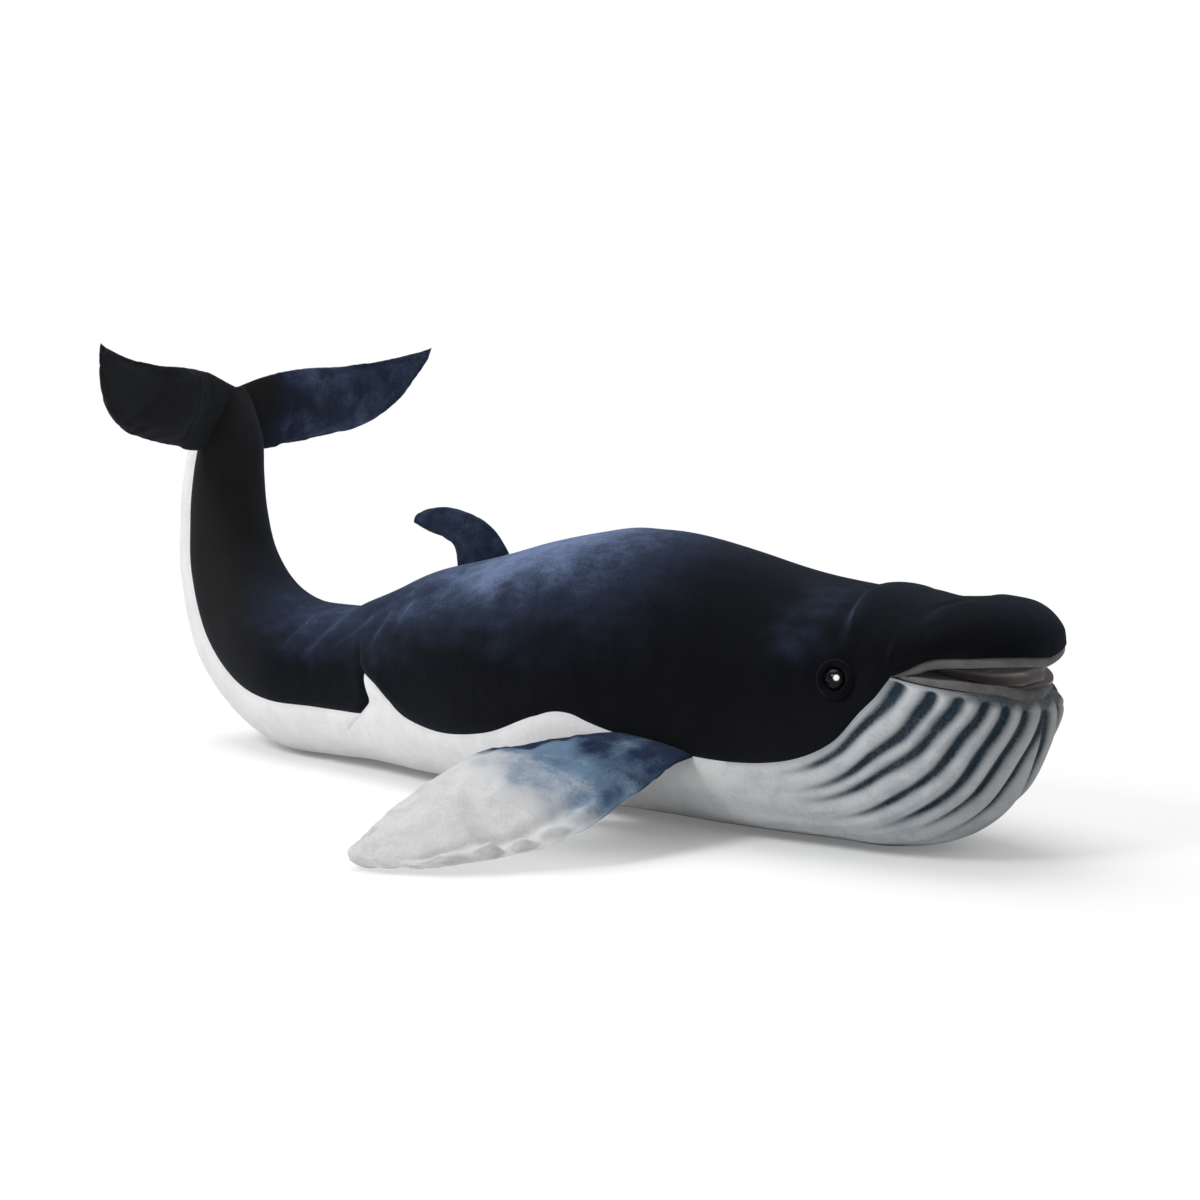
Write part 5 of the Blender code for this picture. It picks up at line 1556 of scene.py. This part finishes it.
def floor_white():
    """Lit white near the whale, where its shadow falls, and plain white further out."""
    graph = new_graph("floor_white")
    lit = graph.node("ShaderNodeBsdfDiffuse", {"Color": colour((0.90, 0.90, 0.895))})
    glow = graph.node("ShaderNodeEmission", {"Color": colour(WHITE), "Strength": 1.0})
    away = graph.node("ShaderNodeVectorMath", [graph.place()], output=1, operation="LENGTH")
    long = graph.node("ShaderNodeMapping", {"Vector": graph.place(), "Scale": (0.36, 1.0, 1.0)})
    beside = graph.node("ShaderNodeVectorMath", [long], output=1, operation="LENGTH")
    seen = graph.node("ShaderNodeLightPath", output="Is Camera Ray")
    share = away.ramp(0.40, 0.75) * 0.35 + beside.ramp(0.07, 0.17) * 0.50 + 0.15
    return graph.surface(graph.node("ShaderNodeMixShader", {0: share * seen, 1: lit, 2: glow}))


def studio():
    """Soft white light all round, and plain white where the camera sees it."""
    graph = Graph(bpy.data.worlds.new("studio"))
    seen = graph.node("ShaderNodeLightPath", output="Is Camera Ray")
    soft = graph.node("ShaderNodeBackground", {"Color": colour(WHITE), "Strength": 0.40})
    white = graph.node("ShaderNodeBackground", {"Color": colour(WHITE), "Strength": 1.0})
    either = graph.node("ShaderNodeMixShader", {0: seen, 1: soft, 2: white})
    return graph.surface(either, "ShaderNodeOutputWorld")


class WHALE_OT_stage(bpy.types.Operator):
    """Pale floor, soft light and the camera"""
    bl_idname = "whale.stage"
    bl_label = "Stage"

    def execute(self, context):
        scene = context.scene
        bm = bmesh.new()
        bmesh.ops.create_grid(bm, x_segments=1, y_segments=1, size=30.0)
        floor = add_object("floor", mesh_of("floor", bm), floor_white())
        floor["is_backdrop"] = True
        scene.world = studio()
        lamp("key", -12.0, 40.0, 1.9, 0.50, 18.0)
        lamp("top", -110.0, 74.0, 1.8, 1.6, 27.0)
        camera = bpy.data.cameras.new("camera")
        camera.sensor_width = 36.0
        camera.lens = CAMERA_LENS
        camera.clip_end = 100.0
        scene.camera = aimed(
            "camera", camera, CAMERA_TARGET, CAMERA_TURN, CAMERA_RISE, CAMERA_DISTANCE)
        scene.view_settings.view_transform = "Standard"
        return {"FINISHED"}


PIECE_OPERATORS = (
    WHALE_OT_back, WHALE_OT_belly, WHALE_OT_throat, WHALE_OT_tail, WHALE_OT_mouth,
    WHALE_OT_flippers, WHALE_OT_flukes, WHALE_OT_fin, WHALE_OT_eyes, WHALE_OT_hidden,
    WHALE_OT_stage,
)


class WHALE_PT_panel(bpy.types.Panel):
    """Lists the operators that make the whale"""
    bl_idname = "WHALE_PT_panel"
    bl_label = "Whale"
    bl_space_type = "VIEW_3D"
    bl_region_type = "UI"
    bl_category = "Whale"

    def draw(self, context):
        for made in PIECE_OPERATORS:
            self.layout.operator(made.bl_idname)
        for group in (context.scene.whale_sizes, context.scene.whale_colours):
            for name in group.bl_rna.properties.keys():
                if name not in ("rna_type", "name"):
                    self.layout.prop(group, name)


CLASSES = (WhaleSizes, WhaleColours) + PIECE_OPERATORS + (WHALE_PT_panel,)


def register():
    for made in CLASSES:
        bpy.utils.register_class(made)
    bpy.types.Scene.whale_sizes = bpy.props.PointerProperty(type=WhaleSizes)
    bpy.types.Scene.whale_colours = bpy.props.PointerProperty(type=WhaleColours)


def unregister():
    del bpy.types.Scene.whale_colours
    del bpy.types.Scene.whale_sizes
    for made in reversed(CLASSES):
        bpy.utils.unregister_class(made)


def plain(box):
    return [[float(value) for value in corner] for corner in box]


def main():
    register()
    for made in PIECE_OPERATORS:
        group, name = made.bl_idname.split(".")
        getattr(getattr(bpy.ops, group), name)()
    {"cad": plain(CAD_BOX), "visual": plain(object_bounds())}


if __name__ == "__main__":
    main()
